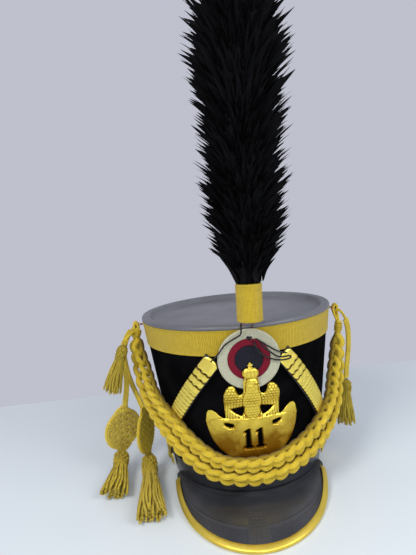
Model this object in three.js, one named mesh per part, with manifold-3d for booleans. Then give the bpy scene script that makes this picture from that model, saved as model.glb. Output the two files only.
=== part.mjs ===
// Shako: a stiff military cap of black felt with a leather crown top and peak, brass front plate and
// chin scales, a woven cockade, a feather plume, and a gold-yellow plait with raquettes and tassels.
// Millimetres, +Z up, front towards -Y, standing on the surface z = 0.
import * as THREE from 'three';
import Module from 'manifold-3d';
import { mergeVertices } from 'three/addons/utils/BufferGeometryUtils.js';
import { TessellateModifier } from 'three/addons/modifiers/TessellateModifier.js';

// ---------------------------------------------------------------- driving dimensions
const gap = 0.3; // clearance kept between neighbouring pieces
const segments = 48; // facets round the body

const crownHeight = 201.5; // rim to the top of the crown
const crownRadius = 122; // the crown is round
const rimHalfWidth = 96.8; // the rim is a slight oval, longer from front to back
const rimHalfLength = 101.9;
const feltWall = 2.6;
const trimThickness = 1.3; // lace band and base band

const crownEdgeDrop = 5; // turned-down edge of the leather top
const laceBandLow = 167.5;
const baseBandHigh = 25;

const peakHalfWidth = 90.8;
const peakCentre = 48.7; // centre of the peak's outline, in front of the middle of the hat
const peakFront = 175.6; // front of the peak's outline
const peakDrop = 20; // front edge of the peak below the rim plane
const peakThickness = 2.5;
const peakDome = 5; // how far the peak's middle is arched up
const peakRows = 6; // facets from the body to the edge
const peakBodyAngle = 65.5; // degrees each side of the front that the peak is sewn to
const bindingWall = 0.9;
const bindingReach = 5.5; // width of the binding over the leather
const bindingNose = 2.5; // rounded front of the binding
const bindingSlack = 0.5; // room between leather and binding
const bindingEnd = 84; // degrees each side that the binding follows the outline

const restTilt = Math.atan(peakDrop / (rimHalfLength + peakFront)); // stands on back rim and peak edge
const bodyShift = 21.4; // brings the middle of the whole box to y = 0

const trimTurn = 3; // degrees that plate, cockade and plume sit to the right of the peak's middle
const cockadeHeight = 163.7;
const cockadeRadii = { outer: 34, middle: 23, centre: 15.4 };
const cockadeThickness = 2.6;
const cockadeStandOff = 2.7; // the plume's wires pass behind the cockade

const plateThickness = 1.6;
const longestPlateEdge = 16;
const shieldRadius = 53.5;
const shieldHeight = 94; // centre of the shield's round lower edge

const strapWidth = 20;
const strapThickness = 1.6;
const strapStandOff = 1.2;
const strapTop = 165;
const strapTopAngle = 18.6; // degrees from the trimmings' middle
const strapLow = 15;
const strapLowAngle = 80;
const strapEnd = 0.9; // share of the run to the rosette's middle where the strap stops
const scaleWidth = 19;
const scaleCount = 27;
const scaleThin = 0.7;
const scaleThick = 1.7;
const rosetteRadius = 15;

const plumeSeat = { x: 9.6, y: -139, z: 208.5 }; // bottom of the sleeve, ahead of the crown's edge
const plumeLean = 2; // degrees to the right
const sleeveRadius = 13.6;
const sleeveHeight = 39;
const featherLength = 312;
const wireRadius = 0.6;

const hookHeight = 190;
const hookRadius = 4.4;
const plaitWidth = 34;
const plaitDepth = 13;
const tapeWidth = 9;
const tapeDepth = 3.4;
const raquetteWidth = 52;
const raquetteHeight = 57;
const raquetteDepth = 6;
const laceRadius = 0.9;

// ---------------------------------------------------------------- colours and finishes
const finishes = {
  felt: { color: 0x0b0b0d, roughness: 0.95, metalness: 0 },
  leather: { color: 0x17181b, roughness: 0.45, metalness: 0 },
  crownLeather: { color: 0x3a3c44, roughness: 0.6, metalness: 0 },
  lace: { color: 0xb89a1e, roughness: 0.7, metalness: 0 },
  cord: { color: 0xd2bd3a, roughness: 0.65, metalness: 0 },
  net: { color: 0xa98c2c, roughness: 0.7, metalness: 0 },
  brass: { color: 0xe0b43c, roughness: 0.3, metalness: 1 },
  copper: { color: 0x8a4a22, roughness: 0.4, metalness: 1 },
  feather: { color: 0x09090b, roughness: 0.8, metalness: 0 },
  cream: { color: 0xcfcba4, roughness: 0.85, metalness: 0 },
  crimson: { color: 0x7d1024, roughness: 0.85, metalness: 0 },
  navy: { color: 0x1c1c2a, roughness: 0.85, metalness: 0 },
  lacing: { color: 0x0e0e10, roughness: 0.55, metalness: 0 },
};

// ---------------------------------------------------------------- shared helpers
const radians = THREE.MathUtils.degToRad;
const point = (x, y, z) => new THREE.Vector3(x, y, z);

const wasm = await Module();
wasm.setup();

function piece(name, geometry, finish) {
  const mesh = new THREE.Mesh(geometry, new THREE.MeshStandardMaterial(finishes[finish]));
  mesh.name = name;
  return mesh;
}

// Half axes of the body's outer surface, and their mean, at a height above the rim.
function bodyAxes(z) {
  const share = z / crownHeight;
  const across = THREE.MathUtils.lerp(rimHalfWidth, crownRadius, share);
  const along = THREE.MathUtils.lerp(rimHalfLength, crownRadius, share);
  return { across, along, mean: (across + along) / 2 };
}

// A point at a distance out from the body; angle in degrees, 0 at the front, positive to the right.
function onBody(angle, z, out) {
  const { across, along } = bodyAxes(z);
  return point((across + out) * Math.sin(radians(angle)), -(along + out) * Math.cos(radians(angle)), z);
}

// Turns a profile of [distance out from the body, height] pairs round the oval body.
function bandRoundBody(profile) {
  const outline = profile.map(([out, z]) => new THREE.Vector2(bodyAxes(z).mean + out, z));
  return ovalised(new THREE.LatheGeometry(outline, segments));
}

function ovalised(lathe) {
  lathe.rotateX(Math.PI / 2);
  const places = lathe.attributes.position;
  for (let i = 0; i < places.count; i += 1) {
    const { across, along, mean } = bodyAxes(places.getZ(i));
    places.setXY(i, (places.getX(i) * across) / mean, (places.getY(i) * along) / mean);
  }
  return lathe;
}

function signedVolume(places, faces) {
  let volume = 0;
  for (let i = 0; i < faces.length; i += 3) {
    const [a, b, c] = [0, 1, 2].map((k) => places[faces[i + k]]);
    volume += a.dot(b.clone().cross(c)) / 6;
  }
  return volume;
}

// A closed body through rings of points, all drawn from one flat section; the ends are capped.
function loft(rings, section) {
  const places = rings.flat();
  const count = section.length;
  const faces = [];
  for (let r = 0; r + 1 < rings.length; r += 1) {
    for (let k = 0; k < count; k += 1) {
      const here = r * count + k;
      const next = r * count + ((k + 1) % count);
      faces.push(here, next, next + count, here, next + count, here + count);
    }
  }
  const last = (rings.length - 1) * count;
  const clockwise = THREE.ShapeUtils.isClockWise(section);
  for (const triangle of THREE.ShapeUtils.triangulateShape(section, [])) {
    const [a, b, c] = clockwise ? triangle.reverse() : triangle;
    faces.push(c, b, a, a + last, b + last, c + last);
  }
  if (signedVolume(places, faces) < 0) faces.reverse();
  const geometry = new THREE.BufferGeometry().setFromPoints(places);
  geometry.setIndex(faces);
  return geometry;
}

function corners(pairs) {
  return pairs.map(([x, y]) => new THREE.Vector2(x, y));
}

// Sweeps a section along a route; its x runs across the route and its y outwards.
function sweep(stations, section) {
  const rings = stations.map(({ place, across, outward }) =>
    section.map((s) => place.clone().addScaledVector(across, s.x).addScaledVector(outward, s.y)));
  return loft(rings, section);
}

function roundTube(places, radius, steps, sides = 8) {
  const route = new THREE.CatmullRomCurve3(places);
  const section = new THREE.Shape();
  for (let k = 0; k < sides; k += 1) {
    const turn = (2 * Math.PI * k) / sides;
    const corner = [radius * Math.cos(turn), radius * Math.sin(turn)];
    if (k === 0) section.moveTo(...corner);
    else section.lineTo(...corner);
  }
  return new THREE.ExtrudeGeometry(section, { steps, extrudePath: route });
}

function turned(profile, facets) {
  const outline = profile.map(([radius, z]) => new THREE.Vector2(radius, z));
  return new THREE.LatheGeometry(outline, facets).rotateX(Math.PI / 2);
}

// Turns +Z to a direction and moves the origin to a place.
function aim(geometry, place, direction) {
  const turn = new THREE.Quaternion().setFromUnitVectors(point(0, 0, 1), direction.clone().normalize());
  return geometry.applyQuaternion(turn).translate(place.x, place.y, place.z);
}

function asSolid(geometry) {
  const bare = geometry.clone();
  bare.deleteAttribute('normal');
  bare.deleteAttribute('uv');
  const merged = mergeVertices(bare, 1e-4);
  return new wasm.Manifold(new wasm.Mesh({
    numProp: 3,
    vertProperties: new Float32Array(merged.attributes.position.array),
    triVerts: new Uint32Array(merged.index.array),
  }));
}

function asGeometry(solid) {
  const mesh = solid.getMesh();
  const geometry = new THREE.BufferGeometry();
  geometry.setAttribute('position', new THREE.BufferAttribute(mesh.vertProperties, 3));
  geometry.setIndex(new THREE.BufferAttribute(mesh.triVerts, 1));
  return geometry;
}

// ---------------------------------------------------------------- body
function feltBody() {
  const outer = -trimThickness - gap;
  const top = crownHeight - 4.4;
  return bandRoundBody([
    [outer, 0.6],
    [outer, top],
    [outer - feltWall, top],
    [outer - feltWall, 0.6],
    [outer, 0.6],
  ]);
}

// Leather disc with a raised rim round a sunken middle; its edge is turned down over the felt.
function crownTop() {
  const sink = crownHeight - 6;
  const thickness = 2.2;
  const feltTop = crownHeight - 4.4;
  const profile = [
    [0, sink],
    [crownRadius - 14, sink],
    [crownRadius - 10.5, crownHeight - 0.6],
    [crownRadius - 8.5, crownHeight],
    [crownRadius - 1.5, crownHeight],
    [crownRadius, crownHeight - 1.5],
    [crownRadius, crownHeight - crownEdgeDrop + gap],
    [crownRadius - trimThickness, crownHeight - crownEdgeDrop + gap],
    [crownRadius - trimThickness, feltTop + gap],
    [crownRadius - 8.5, feltTop + gap],
    [crownRadius - 12, sink - thickness],
    [0, sink - thickness],
  ];
  return ovalised(new THREE.LatheGeometry(corners(profile).reverse(), segments));
}

function wrapBand(low, high) {
  return bandRoundBody([
    [0, low],
    [0, high],
    [-trimThickness, high],
    [-trimThickness, low],
    [0, low],
  ]);
}

// ---------------------------------------------------------------- peak
// Height of the surface the hat stands on, below the rim plane.
function standingHeight(y) {
  return -(rimHalfLength - y) * Math.tan(restTilt);
}

// Middle of the leather's edge; turn runs from -90 to 90 degrees, 0 at the front.
function peakEdge(turn) {
  const reach = peakFront - peakCentre;
  const x = peakHalfWidth * Math.sin(radians(turn));
  const y = -(peakCentre + reach * Math.cos(radians(turn)));
  const rise = THREE.MathUtils.smoothstep(Math.abs(turn), 50, 100);
  const clear = peakThickness / 2 + bindingSlack + bindingWall;
  return point(x, y, THREE.MathUtils.lerp(standingHeight(y) + clear, clear, rise));
}

function peakRoot(turn) {
  return onBody((turn * peakBodyAngle) / 90, 0.4, gap + 0.5).setZ(1.6);
}

// Middle of the leather; share runs from 0 at the body to 1 at the edge.
function peakMiddle(turn, share) {
  const arch = peakDome * Math.cos(radians(turn)) * 4 * share * (1 - share);
  return peakRoot(turn).lerp(peakEdge(turn), share).add(point(0, 0, arch));
}

function peakSection(turn) {
  const upper = [];
  const lower = [];
  for (let row = 0; row <= peakRows; row += 1) {
    const middle = peakMiddle(turn, row / peakRows);
    upper.push(middle.clone().add(point(0, 0, peakThickness / 2)));
    lower.unshift(middle.clone().add(point(0, 0, -peakThickness / 2)));
  }
  return [...upper, ...lower];
}

// The leather is skived where the binding grips it.
function peak() {
  const rings = [];
  for (let turn = -90; turn <= 90; turn += 6) rings.push(peakSection(turn));
  const flatSection = peakSection(0).map(({ y, z }) => new THREE.Vector2(-y, z));
  const leather = asSolid(loft(rings, flatSection));
  return asGeometry(leather.subtract(asSolid(peakBinding(gap))));
}

// A folded brass strip closed over the leather's edge, following its slope.
function peakBinding(grown = 0) {
  const inner = peakThickness / 2 + bindingSlack - grown;
  const outer = inner + bindingWall + 2 * grown;
  const lip = -bindingReach - grown;
  const section = corners([
    [lip, outer],
    [gap, outer],
    [bindingNose * 0.8, outer * 0.62],
    [bindingNose, 0],
    [bindingNose * 0.8, -outer * 0.62],
    [gap, -outer],
    [lip, -outer],
    [lip, -inner],
    [gap - grown, -inner],
    [gap - grown, inner],
    [lip, inner],
  ]);
  const stations = [];
  const end = bindingEnd + grown / 2;
  const steps = 28;
  for (let i = 0; i <= steps; i += 1) {
    const turn = end * (2 * i / steps - 1);
    const place = peakEdge(turn);
    const along = peakEdge(turn + 1).sub(peakEdge(turn - 1)).setZ(0).normalize();
    const across = point(along.y, -along.x, 0);
    const fall = place.clone().sub(peakMiddle(turn, 1 - 1 / peakRows));
    across.z = fall.z / across.dot(fall);
    across.normalize();
    stations.push({ place, across, outward: across.clone().cross(along) });
  }
  return sweep(stations, section);
}

// ---------------------------------------------------------------- pieces laid on the body
// Bends a flat piece round the body: x becomes the way round, y the height, z the distance out
// beyond what standOff gives for that spot.
function laidOnBody(flat, standOff) {
  const places = flat.attributes.position;
  for (let i = 0; i < places.count; i += 1) {
    const height = places.getY(i);
    const angle = trimTurn + THREE.MathUtils.radToDeg(places.getX(i) / bodyAxes(height).mean);
    const out = standOff(places.getX(i), height) + places.getZ(i);
    const place = onBody(angle, height, out);
    places.setXYZ(i, place.x, place.y, place.z);
  }
  return flat;
}

function mirroredShape(rightHalf) {
  const leftHalf = rightHalf.map(([x, y]) => [-x, y]).reverse();
  return corners([...rightHalf, ...leftHalf].reverse());
}

// Right half of the plate's outline, from the crown's cross down to the lowest point of the shield.
function plateOutline() {
  const eagle = [
    [1.6, 161],
    [8.4, 152],
    [6.4, 143],
    [8, 137],
    [8.5, 128],
    [13.5, 124],
    [19.5, 136.5],
    [25.5, 133],
    [29.5, 121],
    [31, 108],
    [29.8, 95.5],
    [33, 95.5],
    [45.5, 105],
    [51.5, 101],
  ];
  const shield = [];
  for (let turn = 0; turn < 90; turn += 11.25) {
    shield.push([
      shieldRadius * Math.cos(radians(turn)),
      shieldHeight - shieldRadius * Math.sin(radians(turn)),
    ]);
  }
  return [...eagle, ...shield];
}

function numeralOne(centre, foot) {
  const shape = [[-4.6, 0], [4.6, 0], [4.6, 3], [2.2, 3], [2.2, 23], [-0.6, 23], [-4.6, 19], [-2.2, 17.5],
    [-2.2, 3], [-4.6, 3]];
  return new THREE.Path(corners(shape.map(([x, y]) => [x + centre, y + foot])));
}

// The eagle's head and crown stand clear of the flat cockade behind them.
function plateStandOff(x, height) {
  const flatness = (x * x) / (2 * crownRadius);
  const overCockade = cockadeStandOff + cockadeThickness - 0.4 + flatness;
  return 1 + THREE.MathUtils.smoothstep(height, 108, 129) * overCockade;
}

function eaglePlate() {
  const shape = new THREE.Shape(mirroredShape(plateOutline()));
  for (const side of [-1, 1]) {
    const underWing = [[9, 109], [24, 106.5], [12, 97.5]];
    shape.holes.push(new THREE.Path(corners(underWing.map(([x, y]) => [side * x, y]))));
    shape.holes.push(numeralOne(side * 6.6, 59 - side * 0.3));
  }
  const flat = new THREE.ExtrudeGeometry(shape, { depth: plateThickness, bevelEnabled: false });
  return laidOnBody(new TessellateModifier(longestPlateEdge, 24).modify(flat), plateStandOff);
}

function cockadeRing(inner, outer) {
  const height = cockadeThickness;
  const profile = inner === 0
    ? [[0, 0], [outer, 0], [outer, height], [0, height]]
    : [[inner, 0], [outer, 0], [outer, height], [inner, height], [inner, 0]];
  const centre = onBody(trimTurn, cockadeHeight, cockadeStandOff);
  const ahead = centre.clone().sub(onBody(trimTurn, cockadeHeight, 0)).setZ(0).normalize();
  ahead.z = -(crownRadius - rimHalfLength) / crownHeight;
  return aim(turned(profile, 40), centre, ahead);
}

// ---------------------------------------------------------------- chin straps
// A station on the strap's straight run round the body; share 0 at its upper end, 1 at the rosette.
function strapStation(side, share) {
  const angle = trimTurn + side * THREE.MathUtils.lerp(strapTopAngle, strapLowAngle - side * trimTurn, share);
  const z = THREE.MathUtils.lerp(strapTop, strapLow, share);
  return onBody(angle, z, 0);
}

function strapRun(side, out, section) {
  return (shares) => {
    const stations = shares.map(({ share, profile }) => {
      const place = strapStation(side, share);
      const along = strapStation(side, share + 0.01).sub(strapStation(side, share - 0.01)).normalize();
      const outward = point(place.x, place.y, 0).normalize();
      const across = along.clone().cross(outward).normalize();
      const level = across.clone().cross(along).normalize();
      return profile.map((s) => place.clone().addScaledVector(across, s.x).addScaledVector(level, s.y + out));
    });
    return loft(stations, section);
  };
}

function bowedSection(width, low, high) {
  const sag = (width * width) / (8 * crownRadius);
  const half = width / 2;
  return corners([[-half, low - sag], [0, low], [half, low - sag], [half, high - sag], [0, high],
    [-half, high - sag]]);
}

function chinStrap(side) {
  const profile = bowedSection(strapWidth, 0, strapThickness);
  const steps = 14;
  const shares = Array.from({ length: steps + 1 }, (_, i) => ({ share: (i / steps) * strapEnd, profile }));
  return strapRun(side, strapStandOff, profile)(shares);
}

// Scales overlap downwards, so each run rises to a scale's lower lip and drops to the next scale.
function chinScales(side) {
  const shares = [];
  for (let i = 0; i < scaleCount; i += 1) {
    shares.push({ share: ((i + 0.05) / scaleCount) * strapEnd, profile: bowedSection(scaleWidth, 0, scaleThin) });
    shares.push({ share: ((i + 0.95) / scaleCount) * strapEnd, profile: bowedSection(scaleWidth, 0, scaleThick) });
  }
  return strapRun(side, strapStandOff + strapThickness + 2 * gap, shares[0].profile)(shares);
}

function rosette(side) {
  const profile = [[0, 0], [rosetteRadius, 0], [rosetteRadius, 1.4], [rosetteRadius - 4, 3], [6, 3.4],
    [4, 5.6], [0, 6.4]];
  const centre = strapStation(side, 1);
  const ahead = point(centre.x, centre.y, 0).normalize();
  ahead.z = -(crownRadius - rimHalfLength) / crownHeight;
  const lift = 1.6 * ahead.length();
  return aim(turned(profile, 24), centre.addScaledVector(ahead, lift), ahead);
}

// ---------------------------------------------------------------- plume
function plumeAxis() {
  return point(Math.sin(radians(plumeLean)), 0, Math.cos(radians(plumeLean)));
}

function onPlume(height, x = 0, y = 0) {
  return point(plumeSeat.x + x, plumeSeat.y + y, plumeSeat.z).addScaledVector(plumeAxis(), height);
}

function plumeSleeve() {
  const wall = 1.6;
  const profile = [
    [2.4, 0],
    [sleeveRadius - 1, 0],
    [sleeveRadius, 1],
    [sleeveRadius, sleeveHeight],
    [sleeveRadius - wall, sleeveHeight],
    [sleeveRadius - wall, sleeveHeight - 6],
    [2.4, sleeveHeight - 6],
    [2.4, 0],
  ];
  return aim(turned(profile, 24), onPlume(0), plumeAxis());
}

// The feathers' outer form: close at the sleeve, widest below the rounded tip.
function plume() {
  const start = sleeveHeight + gap;
  const form = [[0, 0], [12, 0], [18, 8], [27, 22], [37, 40], [42, 70], [45, 120], [46, 175], [48, 230],
    [47, 268], [38, 294], [20, 308], [0, featherLength]];
  const profile = form.map(([radius, height]) => [radius, height]);
  return aim(turned(profile, 20), onPlume(start), plumeAxis());
}

// Two stiff wires carry the plume from a pocket behind the cockade up into the sleeve.
function plumeWire(side) {
  const route = [
    onBody(trimTurn + side * 2.6, crownHeight - 24, 1.1),
    onBody(trimTurn + side * 2.6, crownHeight - 12, 1.1),
    onBody(trimTurn + side * 2.6, crownHeight - 2, 2.4),
    onPlume(-1.2, side * 5, 0),
  ];
  return roundTube(route, wireRadius, 12, 6);
}

// ---------------------------------------------------------------- plait hooks
function wireHook(side) {
  const centre = onBody(side * 86, hookHeight, hookRadius + wireRadius + 0.6);
  const ring = new THREE.TorusGeometry(hookRadius, wireRadius, 6, 16).rotateX(Math.PI / 2);
  return ring.translate(centre.x, centre.y, centre.z);
}

// ---------------------------------------------------------------- the hat as it stands
const hat = new THREE.Group();
hat.rotation.x = -restTilt;
hat.position.set(0, bodyShift, rimHalfLength * Math.sin(restTilt));
hat.updateMatrixWorld(true);

function standing(place) {
  return hat.localToWorld(place.clone());
}

// ---------------------------------------------------------------- cord work, in the standing frame
function ellipse(halfWidth, halfDepth, sides) {
  return corners(Array.from({ length: sides }, (_, k) => [
    halfWidth * Math.cos((2 * Math.PI * k) / sides),
    halfDepth * Math.sin((2 * Math.PI * k) / sides),
  ]));
}

// A flat cord along a route of places, its face turned to a direction given at each place.
function flatCord(places, faces, section, steps) {
  const centres = new THREE.CatmullRomCurve3(places);
  const facing = new THREE.CatmullRomCurve3(faces);
  const stations = [];
  for (let i = 0; i <= steps; i += 1) {
    const along = centres.getTangent(i / steps);
    const outward = facing.getPoint(i / steps).projectOnPlane(along).normalize();
    stations.push({ place: centres.getPoint(i / steps), across: along.clone().cross(outward), outward });
  }
  return sweep(stations, section);
}

// The plait hangs from both side hooks and swags across the front above the peak. Its columns are the
// angle round the body, the height above the rim, the distance out, and the angle its face looks to.
const plaitRoute = [
  { angle: -82, z: 172, out: 14, face: -55 },
  { angle: -82, z: 152, out: 15, face: -50 },
  { angle: -80, z: 132, out: 15, face: -50 },
  { angle: -75.5, z: 115, out: 14, face: -50 },
  { angle: -67, z: 101.5, out: 13.5, face: -49 },
  { angle: -58, z: 91, out: 13, face: -48 },
  { angle: -50, z: 81, out: 12.8, face: -46 },
  { angle: -43, z: 70, out: 12.5, face: -42 },
  { angle: -36.5, z: 59, out: 11.6, face: -36.5 },
  { angle: -30, z: 49, out: 10.6, face: -30 },
  { angle: -23, z: 41, out: 10, face: -23 },
  { angle: -15, z: 36.5, out: 10, face: -15 },
  { angle: -6, z: 34.5, out: 10, face: -6 },
  { angle: 4, z: 34.5, out: 10, face: 4 },
  { angle: 14, z: 36, out: 10, face: 14 },
  { angle: 23, z: 40, out: 10, face: 23 },
  { angle: 32, z: 46, out: 10.5, face: 31 },
  { angle: 41, z: 53.5, out: 11.4, face: 39 },
  { angle: 50, z: 62, out: 12.2, face: 46 },
  { angle: 59, z: 71, out: 12.8, face: 52 },
  { angle: 68, z: 82, out: 13.4, face: 57 },
  { angle: 75, z: 97, out: 13.5, face: 61 },
  { angle: 79, z: 115, out: 14, face: 64 },
  { angle: 81, z: 134, out: 14, face: 66 },
  { angle: 82, z: 156, out: 14, face: 68 },
];

function frontPlait() {
  const centres = plaitRoute.map(({ angle, z, out }) => standing(onBody(angle, z, out)));
  const faces = plaitRoute.map(({ face }) => point(Math.sin(radians(face)), -Math.cos(radians(face)), 0));
  return flatCord(centres, faces, ellipse(plaitWidth / 2, plaitDepth / 2, 10), 60);
}

// A barrel of whipped cord between two places.
function knot(from, to, radius) {
  const length = from.distanceTo(to);
  const profile = [[0, 0], [radius * 0.8, 0], [radius, length * 0.2], [radius, length * 0.8],
    [radius * 0.7, length], [0, length]];
  return aim(turned(profile, 12), from, to.clone().sub(from));
}

function sideCord(places) {
  const faces = places.map(({ x, y }) => point(x, y - 250, 0).normalize());
  return flatCord(places, faces, ellipse(tapeWidth / 2, tapeDepth / 2, 8), 14);
}

// Routes of the flat cords that carry the raquettes and the right tassel.
const sideRoutes = {
  side_cord_front: [
    point(-140.5, 3, 186),
    point(-146, 6, 176),
    point(-148, 9, 160),
    point(-148.5, 11, 140),
    point(-150, 12, 120),
    point(-153, 12, 104),
    point(-155.5, 12, 92.5),
  ],
  side_cord_back: [
    point(-138.5, 26, 189),
    point(-146, 31, 179),
    point(-152, 33, 160),
    point(-151, 30, 140),
    point(-145, 21, 120),
    point(-136, 9, 103),
    point(-130.5, 3, 91),
  ],
  side_cord_right: [
    point(141.5, 19, 182),
    point(144.5, 21, 168),
    point(145, 22, 150),
    point(143.5, 23, 130),
    point(141, 22, 113),
    point(140, 21, 101),
  ],
};

// A round net of plaited cord: an oval disc in the plane of two directions.
function raquette(centre, sideways, upward) {
  const outward = sideways.clone().cross(upward).normalize();
  const up = outward.clone().cross(sideways).normalize();
  const layers = [[0.9, -raquetteDepth / 2], [1, 0], [0.9, raquetteDepth / 2]];
  const rings = layers.map(([size, shift]) => ellipse(raquetteWidth / 2, raquetteHeight / 2, 20).map((s) =>
    centre.clone()
      .addScaledVector(sideways, s.x * size)
      .addScaledVector(up, s.y * size)
      .addScaledVector(outward, shift)));
  return loft(rings, ellipse(1, 1, 20));
}

// A knotted head and a spreading skirt of cords; rows give half width and half depth along the route.
function tassel(places, size, flatness) {
  const rows = [[0, 0.2], [0.05, 0.5], [0.18, 0.56], [0.26, 0.46], [0.5, 0.68], [0.8, 0.9], [1, 1]];
  const route = new THREE.CatmullRomCurve3(places);
  const rings = rows.map(([share, spread]) => {
    const along = route.getTangentAt(share);
    const level = Math.abs(along.z) > 0.8 ? point(1, 0, 0) : point(0, 0, 1).cross(along);
    const across = level.projectOnPlane(along).normalize();
    const outward = along.clone().cross(across);
    const depth = THREE.MathUtils.lerp(1, flatness, share);
    return ellipse(size * spread, size * spread * depth, 12).map((s) =>
      route.getPointAt(share).addScaledVector(across, s.x).addScaledVector(outward, s.y));
  });
  return loft(rings, ellipse(1, 1, 12));
}

// Two tassels drag on the surface towards the front; two short ones hang clear of it.
const tassels = {
  tassel_front: { size: 19, flatness: 0.5,
    places: [point(-167.5, 10, 29), point(-167, -2, 20), point(-167.5, -26, 13), point(-168, -54, 10)] },
  tassel_back: { size: 19, flatness: 0.5,
    places: [point(-129.5, 0, 27), point(-128, -14, 18), point(-123, -50, 12), point(-116, -103, 10)] },
  tassel_upper: { size: 13, flatness: 0.8,
    places: [point(-143, -8, 181), point(-148, -9, 168), point(-156, -9, 148), point(-165, -9, 122)] },
  tassel_right: { size: 13, flatness: 0.8,
    places: [point(139.5, 21, 98), point(139, 21, 84), point(138, 21, 62), point(138, 21, 36)] },
};

// Routes of the thin black laces over the cockade, as angle round the body, height, distance out.
const laceRoutes = {
  lace_left: [[0, 206.5, 17.5], [0, 203, 12.5], [0, 198, 9], [-0.4, 193, 8.4], [-3, 189.5, 8.6],
    [-8, 183, 9.6], [-11.5, 174, 11], [-14.2, 168, 11.4], [-16, 164.5, 8.5]],
  lace_right: [[6.6, 187, 8.4], [9, 183, 8.8], [12.5, 177, 9.6], [16, 171.5, 10.9], [19, 168.5, 12],
    [21.5, 167, 10.5]],
  lace_loop: [[5.6, 184, 8.6], [6.4, 178, 8.8], [8.5, 170.5, 9], [12.2, 164.5, 9.8], [17, 160.5, 11.2],
    [21.5, 159.8, 12], [23.6, 161.2, 12], [22.5, 163.4, 12.6], [19, 163.8, 13], [16, 165.5, 12.4],
    [13, 171, 11.8], [10, 177, 11.2], [8.4, 182, 10.8]],
};

function lace(rows) {
  return roundTube(rows.map(([angle, z, out]) => standing(onBody(angle, z, out))), laceRadius, 26);
}

function laceKnot() {
  const ball = new THREE.SphereGeometry(1, 10, 8).scale(4.2, 2, 3);
  const centre = standing(onBody(3.4, 188.6, 10.2));
  return ball.translate(centre.x, centre.y, centre.z);
}

// ---------------------------------------------------------------- the assembled hat
hat.add(
  piece('felt_body', feltBody(), 'felt'),
  piece('crown_top', crownTop(), 'crownLeather'),
  piece('lace_band', wrapBand(laceBandLow, crownHeight - crownEdgeDrop), 'lace'),
  piece('base_band', wrapBand(0, baseBandHigh), 'leather'),
  piece('peak', peak(), 'leather'),
  piece('peak_binding', peakBinding(), 'brass'),
  piece('cockade_outer', cockadeRing(cockadeRadii.middle + gap, cockadeRadii.outer), 'cream'),
  piece('cockade_middle', cockadeRing(cockadeRadii.centre + gap, cockadeRadii.middle), 'crimson'),
  piece('cockade_centre', cockadeRing(0, cockadeRadii.centre), 'navy'),
  piece('eagle_plate', eaglePlate(), 'brass'),
  piece('plume_sleeve', plumeSleeve(), 'lace'),
  piece('plume', plume(), 'feather'),
);
for (const [name, side] of [['left', -1], ['right', 1]]) {
  hat.add(
    piece(`chin_strap_${name}`, chinStrap(side), 'leather'),
    piece(`chin_scales_${name}`, chinScales(side), 'brass'),
    piece(`rosette_${name}`, rosette(side), 'brass'),
    piece(`plume_wire_${name}`, plumeWire(side), 'copper'),
    piece(`wire_hook_${name}`, wireHook(side), 'copper'),
  );
}

const shako = new THREE.Group();
shako.add(
  hat,
  piece('front_plait', frontPlait(), 'cord'),
  piece('knot_left', knot(standing(onBody(-82, 175.5, 14)), standing(onBody(-84, 184, 9)), 6.5), 'cord'),
  piece('knot_right', knot(standing(onBody(82, 158.5, 14)), standing(onBody(85, 193, 16)), 5), 'cord'),
  piece('raquette_front', raquette(point(-162, 12, 60), point(0.77, 0.64, 0), point(0.2, 0, 0.98)), 'net'),
  piece('raquette_back', raquette(point(-130, 2, 59.5), point(0.25, 0.97, 0), point(0, 0, 1)), 'cord'),
  piece('lace_knot', laceKnot(), 'lacing'),
);
for (const [name, places] of Object.entries(sideRoutes)) shako.add(piece(name, sideCord(places), 'cord'));
for (const [name, { places, size, flatness }] of Object.entries(tassels)) {
  shako.add(piece(name, tassel(places, size, flatness), 'cord'));
}
for (const [name, rows] of Object.entries(laceRoutes)) shako.add(piece(name, lace(rows), 'lacing'));

export default shako;
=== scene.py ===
import math
import random

import bmesh
import bpy
from mathutils import Matrix, Vector
from mathutils.kdtree import KDTree


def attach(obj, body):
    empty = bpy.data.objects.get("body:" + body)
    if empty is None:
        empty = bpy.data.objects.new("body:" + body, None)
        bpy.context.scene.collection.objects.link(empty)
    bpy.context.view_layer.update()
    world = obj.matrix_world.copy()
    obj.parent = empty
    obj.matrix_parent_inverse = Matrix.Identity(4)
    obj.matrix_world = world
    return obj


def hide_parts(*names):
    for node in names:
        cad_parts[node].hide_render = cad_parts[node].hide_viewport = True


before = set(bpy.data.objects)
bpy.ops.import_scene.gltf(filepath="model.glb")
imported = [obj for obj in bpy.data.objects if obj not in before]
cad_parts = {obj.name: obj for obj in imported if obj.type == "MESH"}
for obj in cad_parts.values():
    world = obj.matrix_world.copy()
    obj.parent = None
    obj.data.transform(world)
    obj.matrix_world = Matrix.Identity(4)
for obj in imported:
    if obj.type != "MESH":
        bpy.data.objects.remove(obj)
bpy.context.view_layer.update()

# ------------------------------------------------------------------ table, light and camera
# The shako stands on a plain white table in soft room light. A large lamp high on the left and a
# paler one on the right give the brass and the leather their broad highlights.
MM = 0.001
TABLE_LEFT, TABLE_RIGHT = -1.1, 1.1
TABLE_FRONT = -1.0
TABLE_BACK_LEFT, TABLE_BACK_RIGHT = 0.2115, 0.3545
scene = bpy.context.scene
scene.view_settings.view_transform = "Standard"


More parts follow.
